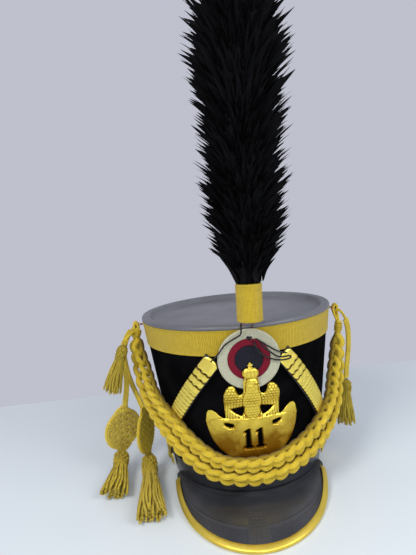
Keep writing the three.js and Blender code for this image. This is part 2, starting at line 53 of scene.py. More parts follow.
class Shade:
    """One output of a finish's nodes; sums and products of it add Math nodes."""

    def __init__(self, finish, socket):
        self.finish = finish
        self.socket = socket

    def maths(self, operation, *others):
        values = dict(enumerate((self, *others)))
        return self.finish.node("ShaderNodeMath", {"operation": operation}, values)

    def __add__(self, other):
        return self.maths("ADD", other)

    def __sub__(self, other):
        return self.maths("SUBTRACT", other)

    def __mul__(self, other):
        return self.maths("MULTIPLY", other)

    def __truediv__(self, other):
        return self.maths("DIVIDE", other)

    def __rsub__(self, other):
        return self.finish.node("ShaderNodeMath", {"operation": "SUBTRACT"}, {0: other, 1: self})

    __radd__ = __add__
    __rmul__ = __mul__


class Finish:
    """A material: constants go on the shader's own sockets, and nodes vary what is left."""

    def __init__(self, name, constants):
        self.material = bpy.data.materials.new(name)
        self.material.use_nodes = True
        self.tree = self.material.node_tree
        self.shader = self.tree.nodes["Principled BSDF"]
        self.surface(constants)

    def node(self, kind, settings, sockets, output=0):
        made = self.tree.nodes.new(kind)
        for setting, value in settings.items():
            setattr(made, setting, value)
        for key, value in sockets.items():
            self.feed(made.inputs[key], value)
        return Shade(self, made.outputs[output])

    def feed(self, socket, value):
        if isinstance(value, Shade):
            self.tree.links.new(value.socket, socket)
        else:
            socket.default_value = value

    def surface(self, sockets):
        for key, value in sockets.items():
            self.feed(self.shader.inputs[key], value)

    def place(self):
        return self.node("ShaderNodeTexCoord", {}, {}, "Object")

    def chart(self):
        """The two shares of the piece's own chart, in metres across and along it."""
        places = self.node("ShaderNodeUVMap", {"uv_map": "chart"}, {})
        split = self.node("ShaderNodeSeparateXYZ", {}, {0: places}, "X")
        return split, Shade(self, split.socket.node.outputs["Y"])

    def noise(self, scale, detail=2.0, where=None):
        sockets = {"Vector": where or self.place(), "Scale": scale, "Detail": detail}
        return self.node("ShaderNodeTexNoise", {}, sockets, "Fac")

    def between(self, amount, low, high):
        return self.node("ShaderNodeMapRange", {}, {"Value": amount, "From Min": low, "From Max": high})

    def blend(self, amount, first, second):
        sockets = {0: amount, 6: first, 7: second}
        return self.node("ShaderNodeMix", {"data_type": "RGBA"}, sockets, 2)

    def relief(self, height, depth):
        """Raises the surface by height times depth, a distance in metres."""
        sockets = {"Height": height, "Distance": depth, "Strength": 1.0}
        self.surface({"Normal": self.node("ShaderNodeBump", {}, sockets)})


def table_finish():
    paint = Finish("table_white", {"Roughness": 0.42})
    cloud = paint.between(paint.noise(3.0), 0.3, 0.7)
    paint.surface({"Base Color": paint.blend(cloud, (0.58, 0.63, 0.655, 1), (0.61, 0.66, 0.685, 1))})
    return paint.material


def make_table():
    shape = bmesh.new()
    corners = [(TABLE_LEFT, TABLE_FRONT), (TABLE_RIGHT, TABLE_FRONT),
               (TABLE_RIGHT, TABLE_BACK_RIGHT), (TABLE_LEFT, TABLE_BACK_LEFT)]
    shape.faces.new([shape.verts.new((x, y, 0)) for x, y in corners])
    mesh = bpy.data.meshes.new("table")
    shape.to_mesh(mesh)
    shape.free()
    mesh.materials.append(table_finish())
    table = bpy.data.objects.new("table", mesh)
    scene.collection.objects.link(table)


def add_lamp(name, place, aim, size, power, colour):
    light = bpy.data.lights.new(name, "AREA")
    light.shape = "DISK"
    light.size = size
    light.energy = power
    light.color = colour
    lamp = bpy.data.objects.new(name, light)
    lamp.location = place
    lamp.rotation_euler = (Vector(aim) - Vector(place)).to_track_quat("-Z", "Y").to_euler()
    lamp.visible_camera = False
    scene.collection.objects.link(lamp)


def set_room(colour, strength):
    world = bpy.data.worlds.new("room")
    world.use_nodes = True
    background = world.node_tree.nodes["Background"]
    background.inputs["Color"].default_value = colour
    background.inputs["Strength"].default_value = strength
    scene.world = world


def add_camera():
    lens = bpy.data.cameras.new("camera")
    lens.sensor_width = 36
    lens.lens = 30.12
    camera = bpy.data.objects.new("camera", lens)
    camera.location = (-0.02345, -0.56232, 0.35643)
    camera.rotation_euler = [math.radians(turn) for turn in (79.825, 5.174, -0.204)]
    scene.collection.objects.link(camera)
    scene.camera = camera


make_table()
set_room((0.52, 0.53, 0.61, 1), 1.0)
add_lamp("lamp_left", (-0.7, -0.9, 1.2), (0, 0, 0.15), 0.6, 13.5, (1.0, 0.98, 0.95))
add_lamp("lamp_right", (0.9, -0.7, 0.9), (0, 0, 0.2), 0.9, 10, (0.95, 0.97, 1.0))
add_lamp("lamp_front", (0.05, -1.0, 0.5), (0, 0, 0.12), 0.25, 2.5, (1.0, 1.0, 1.0))
add_camera()

# ------------------------------------------------------------------ felt body
# A stiff tube of black felt, round at the crown and a slight oval at the rim, that widens upwards.
# Everything on the hat is shaped upright in millimetres and then leans back onto its rim and peak.
CROWN_HEIGHT = 201.5
CROWN_RADIUS = 122.0
RIM_ACROSS = 96.8
RIM_ALONG = 101.9
PEAK_FRONT = 175.6
PEAK_DROP = 20.0
FELT_WALL = 2.6
TRIM = 1.3
GAP = 0.3
BODY_SHIFT = 21.4
LEAN = math.atan(PEAK_DROP / (RIM_ALONG + PEAK_FRONT))
UPRIGHT = Matrix.Scale(MM, 4)
REST_PLACE = Matrix.Translation((0, BODY_SHIFT, RIM_ALONG * math.sin(LEAN)))
STANDING = UPRIGHT @ REST_PLACE @ Matrix.Rotation(-LEAN, 4, "X")


def mixed(first, second, share):
    return first + (second - first) * share


def eased(low, high, value):
    share = min(max((value - low) / (high - low), 0.0), 1.0)
    return share * share * (3 - 2 * share)


def body_axes(height):
    share = height / CROWN_HEIGHT
    return mixed(RIM_ACROSS, CROWN_RADIUS, share), mixed(RIM_ALONG, CROWN_RADIUS, share)


def on_body(angle, height, out=0.0):
    """A point off the felt; the angle is in degrees, 0 at the front and positive to the right."""
    across, along = body_axes(height)
    turn = math.radians(angle)
    return Vector(((across + out) * math.sin(turn), -(along + out) * math.cos(turn), height))


def turned(profile, steps=144):
    """Spins a profile of radius and height round the upright axis."""
    shape = bmesh.new()
    points = [shape.verts.new((radius, 0, height)) for radius, height in profile]
    edges = [shape.edges.new(pair) for pair in zip(points, points[1:])]
    bmesh.ops.spin(shape, geom=points + edges, cent=(0, 0, 0), axis=(0, 0, 1), dvec=(0, 0, 0),
                   angle=math.tau, steps=steps, use_merge=True)
    bmesh.ops.remove_doubles(shape, verts=shape.verts, dist=1e-3)
    bmesh.ops.recalc_face_normals(shape, faces=shape.faces)
    return shape


def ovalled(shape):
    """Presses a round piece into the body's oval."""
    for corner in shape.verts:
        across, along = body_axes(corner.co.z)
        mean = (across + along) / 2
        corner.co.x *= across / mean
        corner.co.y *= along / mean
    return shape


def wound_chart(shape):
    """Charts a piece on the body: metres round it, then metres up it."""
    chart = shape.loops.layers.uv.new("chart")
    for face in shape.faces:
        middle = face.calc_center_median()
        middle_turn = math.atan2(middle.x, -middle.y)
        for corner in face.loops:
            spot = corner.vert.co
            turn = math.atan2(spot.x, -spot.y)
            turn += math.tau * round((middle_turn - turn) / math.tau)
            corner[chart].uv = (turn * CROWN_RADIUS * MM, spot.z * MM)
    return shape


def show(name, shape, placing, finish, stands_for=(), sharp=40.0):
    """Puts a finished shape on the hat and hides the plain solids it stands for."""
    bmesh.ops.transform(shape, matrix=placing, verts=shape.verts)
    mesh = bpy.data.meshes.new(name)
    shape.to_mesh(mesh)
    shape.free()
    for face in mesh.polygons:
        face.use_smooth = True
    mesh.set_sharp_from_angle(angle=math.radians(sharp))
    mesh.materials.append(finish)
    piece = bpy.data.objects.new(name, mesh)
    scene.collection.objects.link(piece)
    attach(piece, "root")
    if stands_for:
        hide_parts(*stands_for)
    return piece


def rounded_off(piece, width, segments=2):
    """Takes the sharpness off a piece's edges; the width is in millimetres."""
    bevel = piece.modifiers.new("rounded_edges", "BEVEL")
    bevel.width = width * MM
    bevel.segments = segments
    bevel.limit_method = "ANGLE"
    bevel.angle_limit = math.radians(35)
    return piece


def felt_finish():
    felt = Finish("black_felt", {"Roughness": 0.95, "Specular IOR Level": 0.012})
    fibre = felt.noise(1400.0, 4.0)
    cloud = felt.between(felt.noise(30.0), 0.35, 0.65)
    felt.surface({"Base Color": felt.blend(cloud * fibre, (0.0015, 0.0015, 0.0018, 1),
                                           (0.006, 0.006, 0.0068, 1))})
    felt.relief(fibre + felt.noise(420.0, 3.0), 0.0006)
    return felt.material


felt_outside = -TRIM - GAP
felt_top = CROWN_HEIGHT - 4.4
felt_rows = 12
felt_profile = [(felt_outside, mixed(0.6, felt_top, i / felt_rows)) for i in range(felt_rows + 1)]
felt_profile += [(out - FELT_WALL, height) for out, height in reversed(felt_profile)]
felt_profile.append(felt_profile[0])


def off_mean(profile):
    """Turns distances out from the felt into radii about the body's axis."""
    return [(sum(body_axes(height)) / 2 + out, height) for out, height in profile]


felt_body = show("felt_shell", wound_chart(ovalled(turned(off_mean(felt_profile)))), STANDING,
                 felt_finish(), ["felt_body"])
rounded_off(felt_body, 0.7)

# ------------------------------------------------------------------ lace band and base band
# Mustard-yellow galloon, woven in narrow herringbone columns with a corded selvedge, is sewn round
# the top. A plain band of polished black leather binds the felt above the rim.
LACE_LOW = 167.5
LACE_HIGH = CROWN_HEIGHT - 5.0
BASE_HIGH = 25.0
GALLOON_DARK = (0.20, 0.125, 0.003, 1)
GALLOON_LIGHT = (0.56, 0.40, 0.018, 1)


def galloon_finish(name, column, thread, slant):
    """Woven lace: columns of slanted threads that lean the other way in every next column."""
    lace = Finish(name, {"Roughness": 0.6, "Sheen Weight": 0.08, "Sheen Roughness": 0.4,
                        "Specular IOR Level": 0.3})
    across, up = lace.chart()
    fold = (across / column).maths("PINGPONG", 1.0)
    lie = (up / thread + fold * slant).maths("FRACT")
    strand = (lie * math.pi).maths("SINE")
    groove = ((across / column).maths("FRACT") * math.pi).maths("SINE").maths("POWER", 0.35)
    height = strand * 0.55 + groove * 0.75
    shade = lace.between(height + lace.noise(260.0) * 0.5, 0.5, 1.6)
    lace.surface({"Base Color": lace.blend(shade, GALLOON_DARK, GALLOON_LIGHT)})
    lace.relief(height, 0.0005)
    return lace.material


def band_profile(low, high, edge, bead):
    """A thin band's section with a raised bead along both edges."""
    outer = [(-0.35, low), (bead, low + edge * 0.35), (bead, low + edge * 0.7), (0.0, low + edge)]
    outer += [(0.0, mixed(low, high, i / 8)) for i in range(1, 8)]
    outer += [(0.0, high - edge), (bead, high - edge * 0.7), (bead, high - edge * 0.35), (-0.35, high)]
    return outer + [(-TRIM, high), (-TRIM, low), (-0.35, low)]


def satin_finish(name, dark, light, roughness, coat):
    """Black leather, dyed and polished: fine grain, faint creases and a soft blue-grey sheen."""
    leather = Finish(name, {"Coat Roughness": 0.22, "Specular IOR Level": 0.3})
    pores = leather.node("ShaderNodeTexVoronoi", {"feature": "DISTANCE_TO_EDGE"},
                         {"Vector": leather.place(), "Scale": 900.0}, "Distance")
    wear = leather.between(leather.noise(22.0, 5.0), 0.35, 0.75)
    leather.surface({"Base Color": leather.blend(wear, dark, light), "Coat Weight": (0.8 + 0.2 * wear) * coat,
                     "Roughness": roughness + 0.12 * leather.noise(60.0, 3.0)})
    leather.relief(pores.maths("MINIMUM", 0.12) + leather.noise(300.0, 3.0) * 0.15, 0.00025)
    return leather.material


black_leather = satin_finish("black_leather", (0.008, 0.0085, 0.010, 1),
                             (0.026, 0.028, 0.036, 1), 0.27, 0.6)
band_lace = galloon_finish("galloon", 0.0021, 0.0011, 1.6)
show("galloon_band",
     wound_chart(ovalled(turned(off_mean(band_profile(LACE_LOW, LACE_HIGH, 1.6, 0.35)), 180))),
     STANDING, band_lace, ["lace_band"])
show("leather_base_band",
     wound_chart(ovalled(turned(off_mean(band_profile(0, BASE_HIGH, 2.4, 0.25)), 144))),
     STANDING, black_leather, ["base_band"])

# ------------------------------------------------------------------ crown top
# A disc of grey-black leather is sunk inside a raised rim, and its edge is turned down over the
# top of the lace. The rim has a polished crest and a stitch line inside it.
crown_profile = [
    (0, 195.5), (30, 195.4), (60, 195.2), (85, 195.0), (100, 195.0), (106, 195.2), (108.5, 196.2),
    (110.4, 198.8), (111.8, 200.8), (113.6, 201.4), (115.6, 201.1), (116.2, 200.8), (116.8, 201.1),
    (119.4, 201.4), (120.9, 201.0), (121.8, 200.0), (122.0, 198.4), (122.0, 197.2), (121.7, 196.8),
    (120.7, 196.8), (120.7, 197.4), (113.5, 197.4), (110.0, 193.3), (0, 193.3),
]
crown_leather = satin_finish("crown_leather", (0.095, 0.097, 0.108, 1), (0.125, 0.128, 0.142, 1), 0.38, 0.25)
show("crown_leather_top", wound_chart(ovalled(turned(crown_profile, 144))), STANDING, crown_leather,
     ["crown_top"], 60.0)

# ------------------------------------------------------------------ peak
# One piece of thick black leather is pressed to shape and sewn under the base band. Its outer part
# is ribbed by a hot iron, with a small stamped panel in the middle.
PEAK_HALF_WIDTH = 90.8
PEAK_CENTRE = 48.7
PEAK_THICK = 2.5
PEAK_DOME = 5.0
PEAK_BODY_ANGLE = 65.5
BINDING_WALL = 0.9
BINDING_REACH = 5.5
BINDING_NOSE = 2.5
BINDING_SLACK = 0.5
BINDING_END = 84.0
RIB_COUNT = 130
COLUMNS_PER_RIB = 4
RIB_DEPTH = 0.8
RIBS_FROM = 0.70
PANEL_HALF_WIDTH = 9.5


def shaped_sheet(columns, rows, placing, closed=False):
    """A grid of faces, each corner moved to placing(across, along); both shares run from 0 to 1."""
    shape = bmesh.new()
    bmesh.ops.create_grid(shape, x_segments=columns, y_segments=rows, size=1, calc_uvs=False)
    chart = shape.loops.layers.uv.new("chart")
    for face in shape.faces:
        for corner in face.loops:
            corner[chart].uv = ((corner.vert.co.x + 1) / 2, (corner.vert.co.y + 1) / 2)
    for corner in shape.verts:
        corner.co = placing((corner.co.x + 1) / 2, (corner.co.y + 1) / 2)
    if closed:
        bmesh.ops.remove_doubles(shape, verts=shape.verts, dist=1e-3)
        rims = [edge for edge in shape.edges if edge.is_boundary]
        bmesh.ops.holes_fill(shape, edges=rims, sides=0)
        bmesh.ops.recalc_face_normals(shape, faces=shape.faces)
    return shape


def sized_chart(shape, wide, long):
    """Stretches a sheet's chart to its real width and length, given in millimetres."""
    chart = shape.loops.layers.uv["chart"]
    for face in shape.faces:
        for corner in face.loops:
            share = corner[chart].uv
            corner[chart].uv = (share.x * wide * MM, share.y * long * MM)
    return shape


def ground_under(y):
    return -(RIM_ALONG - y) * math.tan(LEAN)


def peak_edge(turn):
    x = PEAK_HALF_WIDTH * math.sin(math.radians(turn))
    y = -(PEAK_CENTRE + (PEAK_FRONT - PEAK_CENTRE) * math.cos(math.radians(turn)))
    clear = PEAK_THICK / 2 + BINDING_SLACK + BINDING_WALL
    return Vector((x, y, mixed(ground_under(y) + clear, clear, eased(50, 100, abs(turn)))))


def peak_middle(turn, share):
    """The middle of the leather, from the body at share 0 to its edge at share 1."""
    root = on_body(turn * PEAK_BODY_ANGLE / 90, 0.4, 0.8)
    root.z = 1.6
    arch = PEAK_DOME * math.cos(math.radians(turn)) * 4 * share * (1 - share)
    return root.lerp(peak_edge(turn), share) + Vector((0, 0, arch))


def peak_pressing(turn, share):
    """How far the iron has pressed the top of the leather in or left it proud."""
    crease = -0.25 * math.exp(-(((share - 0.10) / 0.03) ** 2))
    bead = 0.2 * math.exp(-(((share - 0.16) / 0.025) ** 2))
    x = peak_edge(turn).x * mixed(0.9, 1.0, share)
    if abs(x) < PANEL_HALF_WIDTH + 1.5:
        fold = abs((abs(x) + 2.4) % 4.8 - 2.4)
        chevron = math.sin((fold * 1.2 + share * 78) * math.tau / 4.0)
        inside = eased(PANEL_HALF_WIDTH + 1.5, PANEL_HALF_WIDTH, abs(x))
        long = eased(0.42, 0.46, share) * eased(0.97, 0.94, share)
        frame_line = math.exp(-((abs(x) - PANEL_HALF_WIDTH) / 0.6) ** 2)
        return crease + bead + long * (inside * chevron * 0.5 - frame_line * 0.3)
    ribbed = eased(RIBS_FROM, RIBS_FROM + 0.03, share)
    rib = abs(math.sin((turn + 90) / 180 * RIB_COUNT * math.pi)) - 0.6
    step = 0.6 * math.exp(-(((share - RIBS_FROM) / 0.013) ** 2))
    return crease + bead + ribbed * rib * RIB_DEPTH + step


def peak_top(across, along):
    turn = mixed(-90, 90, across)
    share = along * 0.985
    lift = PEAK_THICK / 2 + peak_pressing(turn, share) * math.cos(math.radians(turn)) ** 0.25
    if share > 0.955:
        lift = min(lift, PEAK_THICK / 2)
    return peak_middle(turn, share) + Vector((0, 0, lift))


peak_shape = shaped_sheet(RIB_COUNT * COLUMNS_PER_RIB, 60, peak_top)
bmesh.ops.recalc_face_normals(peak_shape, faces=peak_shape.faces)
if sum(face.normal.z for face in peak_shape.faces) < 0:
    bmesh.ops.reverse_faces(peak_shape, faces=peak_shape.faces)
# The peak is the same black leather as the band and straps, given lighter base colours as painted sheen.
peak_leather_painted_sheen = satin_finish("peak_leather_painted_sheen", (0.020, 0.021, 0.024, 1), (0.034, 0.036, 0.044, 1), 0.26, 0.9)
peak_piece = show("pressed_peak", peak_shape, STANDING, peak_leather_painted_sheen, ["peak"], 70.0)
thick = peak_piece.modifiers.new("leather_thickness", "SOLIDIFY")
thick.thickness = 2.3 * MM
thick.offset = -1

# ------------------------------------------------------------------ peak binding
# A folded strip of brass is closed over the peak's edge and hammered down smooth, with a rounded
# nose. Its ends are tucked under the base band.
brass_constants = {"Metallic": 1.0, "Specular IOR Level": 0.5}


def brass_finish(name, light, dark, patina, roughness):
    """Rolled brass with a hand-rubbed polish, duller in random patches where fingers have touched it."""
    brass = Finish(name, brass_constants)
    stain = brass.between(brass.noise(45.0, 6.0), 0.38, 0.72)
    haze = brass.noise(160.0, 4.0)
    brass.surface({"Base Color": brass.blend(stain * patina, light, dark),
                   "Roughness": roughness + 0.16 * haze + 0.12 * stain})
    brass.relief(brass.noise(90.0, 2.0) + haze * 0.3, 0.0004)
    return brass.material


BRASS_LIGHT = (0.78, 0.60, 0.095, 1)
BRASS_DARK = (0.42, 0.27, 0.04, 1)
binding_brass = brass_finish("binding_brass", BRASS_LIGHT, BRASS_DARK, 0.3, 0.32)


def binding_section():
    """The strip's outline across the edge: over the top, round the nose and back underneath."""
    inner = PEAK_THICK / 2 + BINDING_SLACK
    outer = inner + BINDING_WALL
    lip = -BINDING_REACH
    nose = [(BINDING_NOSE * math.cos(a), outer * math.sin(a))
            for a in (math.radians(72 - 18 * i) for i in range(9))]
    top = [(lip, inner), (lip, outer - 0.3), (lip + 0.4, outer), (lip / 2, outer + 0.05), (0.0, outer)]
    under = [(0.0, -outer), (lip + 0.4, -outer), (lip, -outer + 0.3), (lip, -inner),
             (0.2, -inner), (0.2, inner)]
    return top + nose + under


def binding_place(across, along):
    section = binding_section()
    reach, level = section[round(across * len(section)) % len(section)]
    turn = mixed(-BINDING_END, BINDING_END, along)
    middle = peak_edge(turn)
    forward = peak_edge(turn + 1) - peak_edge(turn - 1)
    forward.z = 0
    forward.normalize()
    outward = Vector((forward.y, -forward.x, 0))
    fall = middle - peak_middle(turn, 5 / 6)
    outward.z = fall.z / outward.dot(fall)
    outward.normalize()
    return middle + outward * reach + outward.cross(forward) * level


show("brass_binding", shaped_sheet(len(binding_section()), 150, binding_place, True), STANDING,
     binding_brass, ["peak_binding"], 50.0)

# ------------------------------------------------------------------ cockade
# Three rings of pleated wool cloth lie flat on a buckram disc behind the plate: cream outside, then
# crimson, and a navy middle. The cloth is drawn round in fine concentric rows.
TRIM_TURN = 3.0
COCKADE_HEIGHT = 163.7
COCKADE_THICK = 2.6
COCKADE_STAND_OFF = 2.7


def aimed(place, direction):
    """Carries a piece built on the upright axis to a place, with +Z turned to a direction."""
    turn = Vector((0, 0, 1)).rotation_difference(direction)
    return Matrix.Translation(place) @ turn.to_matrix().to_4x4()


def body_outward(place):
    direction = Vector((place.x, place.y, 0)).normalized()
    direction.z = -(CROWN_RADIUS - RIM_ALONG) / CROWN_HEIGHT
    return direction


def wool_finish(name, dark, light, ribs, fold):
    """Wool cloth laid in a ring: rows run round it and fine folds run out from its middle."""
    wool = Finish(name, {"Roughness": 0.9, "Sheen Weight": 0.03, "Sheen Roughness": 0.5,
                         "Specular IOR Level": 0.08})
    round_it, outward = wool.chart()
    rows = ((outward / ribs) * math.tau).maths("SINE")
    folds = ((round_it / fold) * math.tau).maths("SINE")
    weave = rows * 0.5 + folds * 0.5
    shade = wool.between(weave + wool.noise(700.0, 3.0) * 1.6, 0.0, 1.6)
    wool.surface({"Base Color": wool.blend(shade, dark, light)})
    wool.relief(weave + wool.noise(900.0), 0.00035)
    return wool.material


def ring_chart(shape):
    """Charts a turned ring: metres round its outer edge, then metres out from its middle."""
    chart = shape.loops.layers.uv.new("chart")
    for face in shape.faces:
        middle = face.calc_center_median()
        middle_turn = math.atan2(middle.y, middle.x)
        for corner in face.loops:
            spot = corner.vert.co
            turn = math.atan2(spot.y, spot.x)
            turn += math.tau * round((middle_turn - turn) / math.tau)
            corner[chart].uv = (turn * 0.03, math.hypot(spot.x, spot.y) * MM)
    return shape


def ring_profile(inner, outer, rows):
    """A cloth ring's section: low rounded rows from its inner to its outer edge."""
    top = []
    for i in range(rows * 4 + 1):
        share = i / (rows * 4)
        swell = 0.22 * abs(math.sin(share * rows * math.pi)) - 0.22
        shoulder = 0.7 * (1 - min(1, 6 * share, 6 * (1 - share)) ** 0.5)
        if inner == 0:
            shoulder = 0.7 * (1 - min(1, 6 * (1 - share)) ** 0.5)
        top.append((mixed(inner, outer, share), COCKADE_THICK + swell - shoulder))
    return [(inner, 0)] * (inner > 0) + top + [(outer, 0), (inner, 0)]


cockade_centre = on_body(TRIM_TURN, COCKADE_HEIGHT, COCKADE_STAND_OFF)
cockade_place = STANDING @ aimed(cockade_centre, body_outward(on_body(TRIM_TURN, COCKADE_HEIGHT)))
cream = wool_finish("cream_cloth", (0.30, 0.30, 0.20, 1), (0.62, 0.61, 0.46, 1), 0.0012, 0.0011)
crimson = wool_finish("crimson_cloth", (0.10, 0.004, 0.012, 1), (0.30, 0.012, 0.035, 1), 0.0012, 0.0009)
navy = wool_finish("navy_cloth", (0.006, 0.006, 0.011, 1), (0.024, 0.024, 0.040, 1), 0.0012, 0.0009)
for name, inner, outer, rows, cloth, slot, node in (
        ("cockade_cream_ring", 23.3, 34, 4, cream, "cream_wool", "cockade_outer"),
        ("cockade_crimson_ring", 15.7, 23, 3, crimson, "crimson_wool", "cockade_middle"),
        ("cockade_navy_middle", 0, 15.4, 3, navy, "navy_wool", "cockade_centre")):
    show(name, ring_chart(turned(ring_profile(inner, outer, rows), 120)), cockade_place, cloth, [node])

# ------------------------------------------------------------------ brass plate
# A plate of thin brass is stamped from behind: a crowned eagle with half-spread wings stands on a
# crescent shield, with the number 11 cut right through it. The shield has browned with age.
PLATE_THICK = 1.6
SHIELD_RADIUS = 53.5
SHIELD_HEIGHT = 94.0
NUMERAL_FOOT = 59.0
EAGLE_OUTLINE = [
    (0, 161), (1.1, 160.2), (1.6, 158.4), (3.4, 157.6), (1.7, 156.4), (1.5, 155), (5, 154.4), (8, 152),
    (9, 149), (8.2, 146), (6.6, 143.4), (7.4, 141), (8.4, 138), (8.2, 133), (8.6, 128), (10.2, 125),
    (13.2, 124.4), (15.2, 128), (16.6, 133), (19.2, 136.3), (22.6, 136), (26, 132.6), (28.6, 126.5),
    (30, 119), (30.8, 110), (30.4, 101), (29.8, 95.8), (33, 95.6), (37, 98), (41, 102.5), (45.5, 105),
    (49.5, 104.6), (51.8, 101.4),
]
WING_GAP = [(9, 109), (16, 108), (24, 106.5), (18, 101), (12, 97.5), (9.6, 102)]
SHIELD_GAP = [(21.5, 85), (26, 84.6), (31.6, 87), (32, 90), (27, 89.6), (22, 88.4)]
NUMERAL = [(-4.6, 0), (4.6, 0), (4.6, 1.8), (2.2, 2.8), (2.2, 22.6), (0.6, 22.6), (-4.4, 19.6), (-4.2, 18.2),
           (-1.8, 18.8), (-1.8, 2.8), (-4.6, 1.8)]


def plate_loops():
    """The plate's outline and its openings, as closed rings of flat points."""
    right = list(EAGLE_OUTLINE)
    for turn in range(2, 90, 4):
        angle = math.radians(turn)
        right.append((SHIELD_RADIUS * math.cos(angle), SHIELD_HEIGHT - SHIELD_RADIUS * math.sin(angle)))
    loops = [right + [(-x, y) for x, y in reversed(right[1:])]]
    for side in (-1, 1):
        loops += [[(side * x, y) for x, y in gap] for gap in (WING_GAP, SHIELD_GAP)]
        loops.append([(x + side * 6.6, y + NUMERAL_FOOT) for x, y in NUMERAL])
    return loops


def nearest_among(spots):
    """A tree that finds the nearest of the spots, with its number and distance."""
    tree = KDTree(len(spots))
    for number, spot in enumerate(spots):
        tree.insert(spot, number)
    tree.balance()
    return tree


def plate_edges(loops):
    """Closely spaced places along every edge of the plate."""
    spots = []
    for loop in loops:
        for (ax, ay), (bx, by) in zip(loop, loop[1:] + loop[:1]):
            steps = math.ceil(math.hypot(bx - ax, by - ay) / 0.3)
            spots += [(mixed(ax, bx, i / steps), mixed(ay, by, i / steps), 0) for i in range(steps)]
    return nearest_among(spots)


def swelling(x, y, centre_x, centre_y, half_wide, half_high):
    """The height of a smooth oval boss, 1 at its middle and 0 at its edge."""
    reach = ((x - centre_x) / half_wide) ** 2 + ((y - centre_y) / half_high) ** 2
    return math.sqrt(max(0.0, 1 - reach))


def stamped_height(x, y):
    """How far the die pushes the plate forward at a flat point."""
    side = abs(x)
    height = 0.0
    if y > 94 and side < 34:
        body = 3.2 * swelling(x, y, 0, 112, 10.5, 19)
        neck = 2.6 * swelling(x, y, 0.4, 130, 6.4, 15)
        head = 2.8 * swelling(x, y, 1.4, 138.6, 5.4, 4.6) + 1.6 * swelling(x, y, 6.2, 138, 2.6, 1.6)
        crown = 2.4 * swelling(x, y, 0, 148.6, 8.6, 6.4)
        crown += 0.5 * abs(math.sin(x * 0.75)) * (crown > 0)
        band = 1.2 * math.exp(-(((y - 143.6) / 0.9) ** 2)) * (side < 7)
        wing = 1.9 * swelling(side, y, 20.5, 118, 11.5, 25)
        scale_row = abs(math.sin(y * math.pi / 3.4))
        scales = 0.34 * abs(math.sin(side * 0.95 + (int(y / 3.4) % 2) * 1.6)) * scale_row
        quills = 0.5 * abs(math.sin((side - 0.16 * (118 - y)) * math.pi / 3.1))
        feathers = mixed(quills, scales * 2, eased(112, 120, y)) if side > 10 else scales * 1.5
        height = max(body, neck, head, crown, band, wing)
        if wing == height or body == height or neck == height:
            height += feathers
        talons = max(swelling(side, y, 9.5 + 2 * k, 96.5, 1.1, 3.2) for k in range(3))
        height = max(height, 1.6 * talons)
    shield = eased(96, 93, y)
    dome = 2.6 * swelling(x, y, 0, 70, 62, 34)
    ridge = 0.9 * math.exp(-(((y - 94.5) / 1.1) ** 2)) * (side < 32)
    scroll = math.hypot(side - 33, y - 95)
    curls = 0.55 * sum(math.exp(-(((scroll - radius) / 0.7) ** 2)) for radius in (14.5, 17.5)) * (y < 93)
    return max(height * (1 - shield), 0) + dome * shield + ridge + curls


def plate_stand_off(x, y):
    over_cockade = COCKADE_STAND_OFF + COCKADE_THICK - 0.4 + x * x / (2 * CROWN_RADIUS)
    return 1 + eased(108, 129, y) * over_cockade


def plate_shape():
    loops = plate_loops()
    blank = bpy.data.curves.new("plate_blank", "CURVE")
    blank.dimensions = "2D"
    blank.fill_mode = "BOTH"
    blank.extrude = PLATE_THICK / 2
    for loop in loops:
        spline = blank.splines.new("POLY")
        spline.points.add(len(loop) - 1)
        spline.use_cyclic_u = True
        for point, (x, y) in zip(spline.points, loop):
            point.co = (x, y, 0, 1)
    stand_in = bpy.data.objects.new("plate_blank", blank)
    scene.collection.objects.link(stand_in)
    remesh = stand_in.modifiers.new("fine_mesh", "REMESH")
    remesh.mode = "VOXEL"
    remesh.voxel_size = 0.62
    remesh.adaptivity = 0
    bpy.context.view_layer.update()
    whole = stand_in.evaluated_get(bpy.context.evaluated_depsgraph_get())
    mesh = bpy.data.meshes.new_from_object(whole)
    shape = bmesh.new()
    shape.from_mesh(mesh)
    bpy.data.objects.remove(stand_in)
    bpy.data.curves.remove(blank)
    bpy.data.meshes.remove(mesh)
    bmesh.ops.smooth_vert(shape, verts=shape.verts, factor=0.5, use_axis_x=True, use_axis_y=True)
    shape.verts.index_update()
    hollows = {}
    edges = plate_edges(loops)
    for corner in shape.verts:
        x, y, level = corner.co
        height = stamped_height(x, y)
        rise = height * min(1.0, edges.find((x, y, 0))[2] / 1.6)
        out = plate_stand_off(x, y) + PLATE_THICK / 2 + level + rise
        angle = TRIM_TURN + math.degrees(x / (sum(body_axes(y)) / 2))
        corner.co = on_body(angle, y, out)
        heights_beside = (stamped_height(x - 1, y) + stamped_height(x + 1, y) + stamped_height(x, y - 1)
                          + stamped_height(x, y + 1))
        hollows[corner.index] = heights_beside / 4 - height
    chart = shape.loops.layers.uv.new("chart")
    for face in shape.faces:
        for corner in face.loops:
            corner[chart].uv = (hollows[corner.vert.index], 0)
    bmesh.ops.recalc_face_normals(shape, faces=shape.faces)
    return shape


def plate_finish():
    """Bright stamped brass, browned in the die's hollows and towards the lower half of the shield."""
    brass = Finish("plate_brass", brass_constants)
    place = brass.place()
    split = brass.node("ShaderNodeSeparateXYZ", {}, {0: place}, "Z")
    low = brass.between(split + brass.noise(70.0, 4.0) * 0.03, 0.130, 0.098)
    hollow = brass.chart()[0]
    cavity = brass.between(hollow + brass.noise(260.0, 3.0) * 0.10 - 0.05, 0.0, 0.22)
    stain = (low * brass.between(brass.noise(38.0, 6.0), 0.22, 0.52)).maths("MAXIMUM", cavity * 0.9)
    haze = brass.noise(220.0, 4.0)
    brass.surface({"Base Color": brass.blend(stain, (0.79, 0.60, 0.08, 1), (0.22, 0.105, 0.007, 1)),
                   "Roughness": 0.27 + 0.14 * haze + 0.10 * stain})
    brass.relief(brass.noise(130.0, 3.0) + haze * 0.4, 0.0005)
    return brass.material


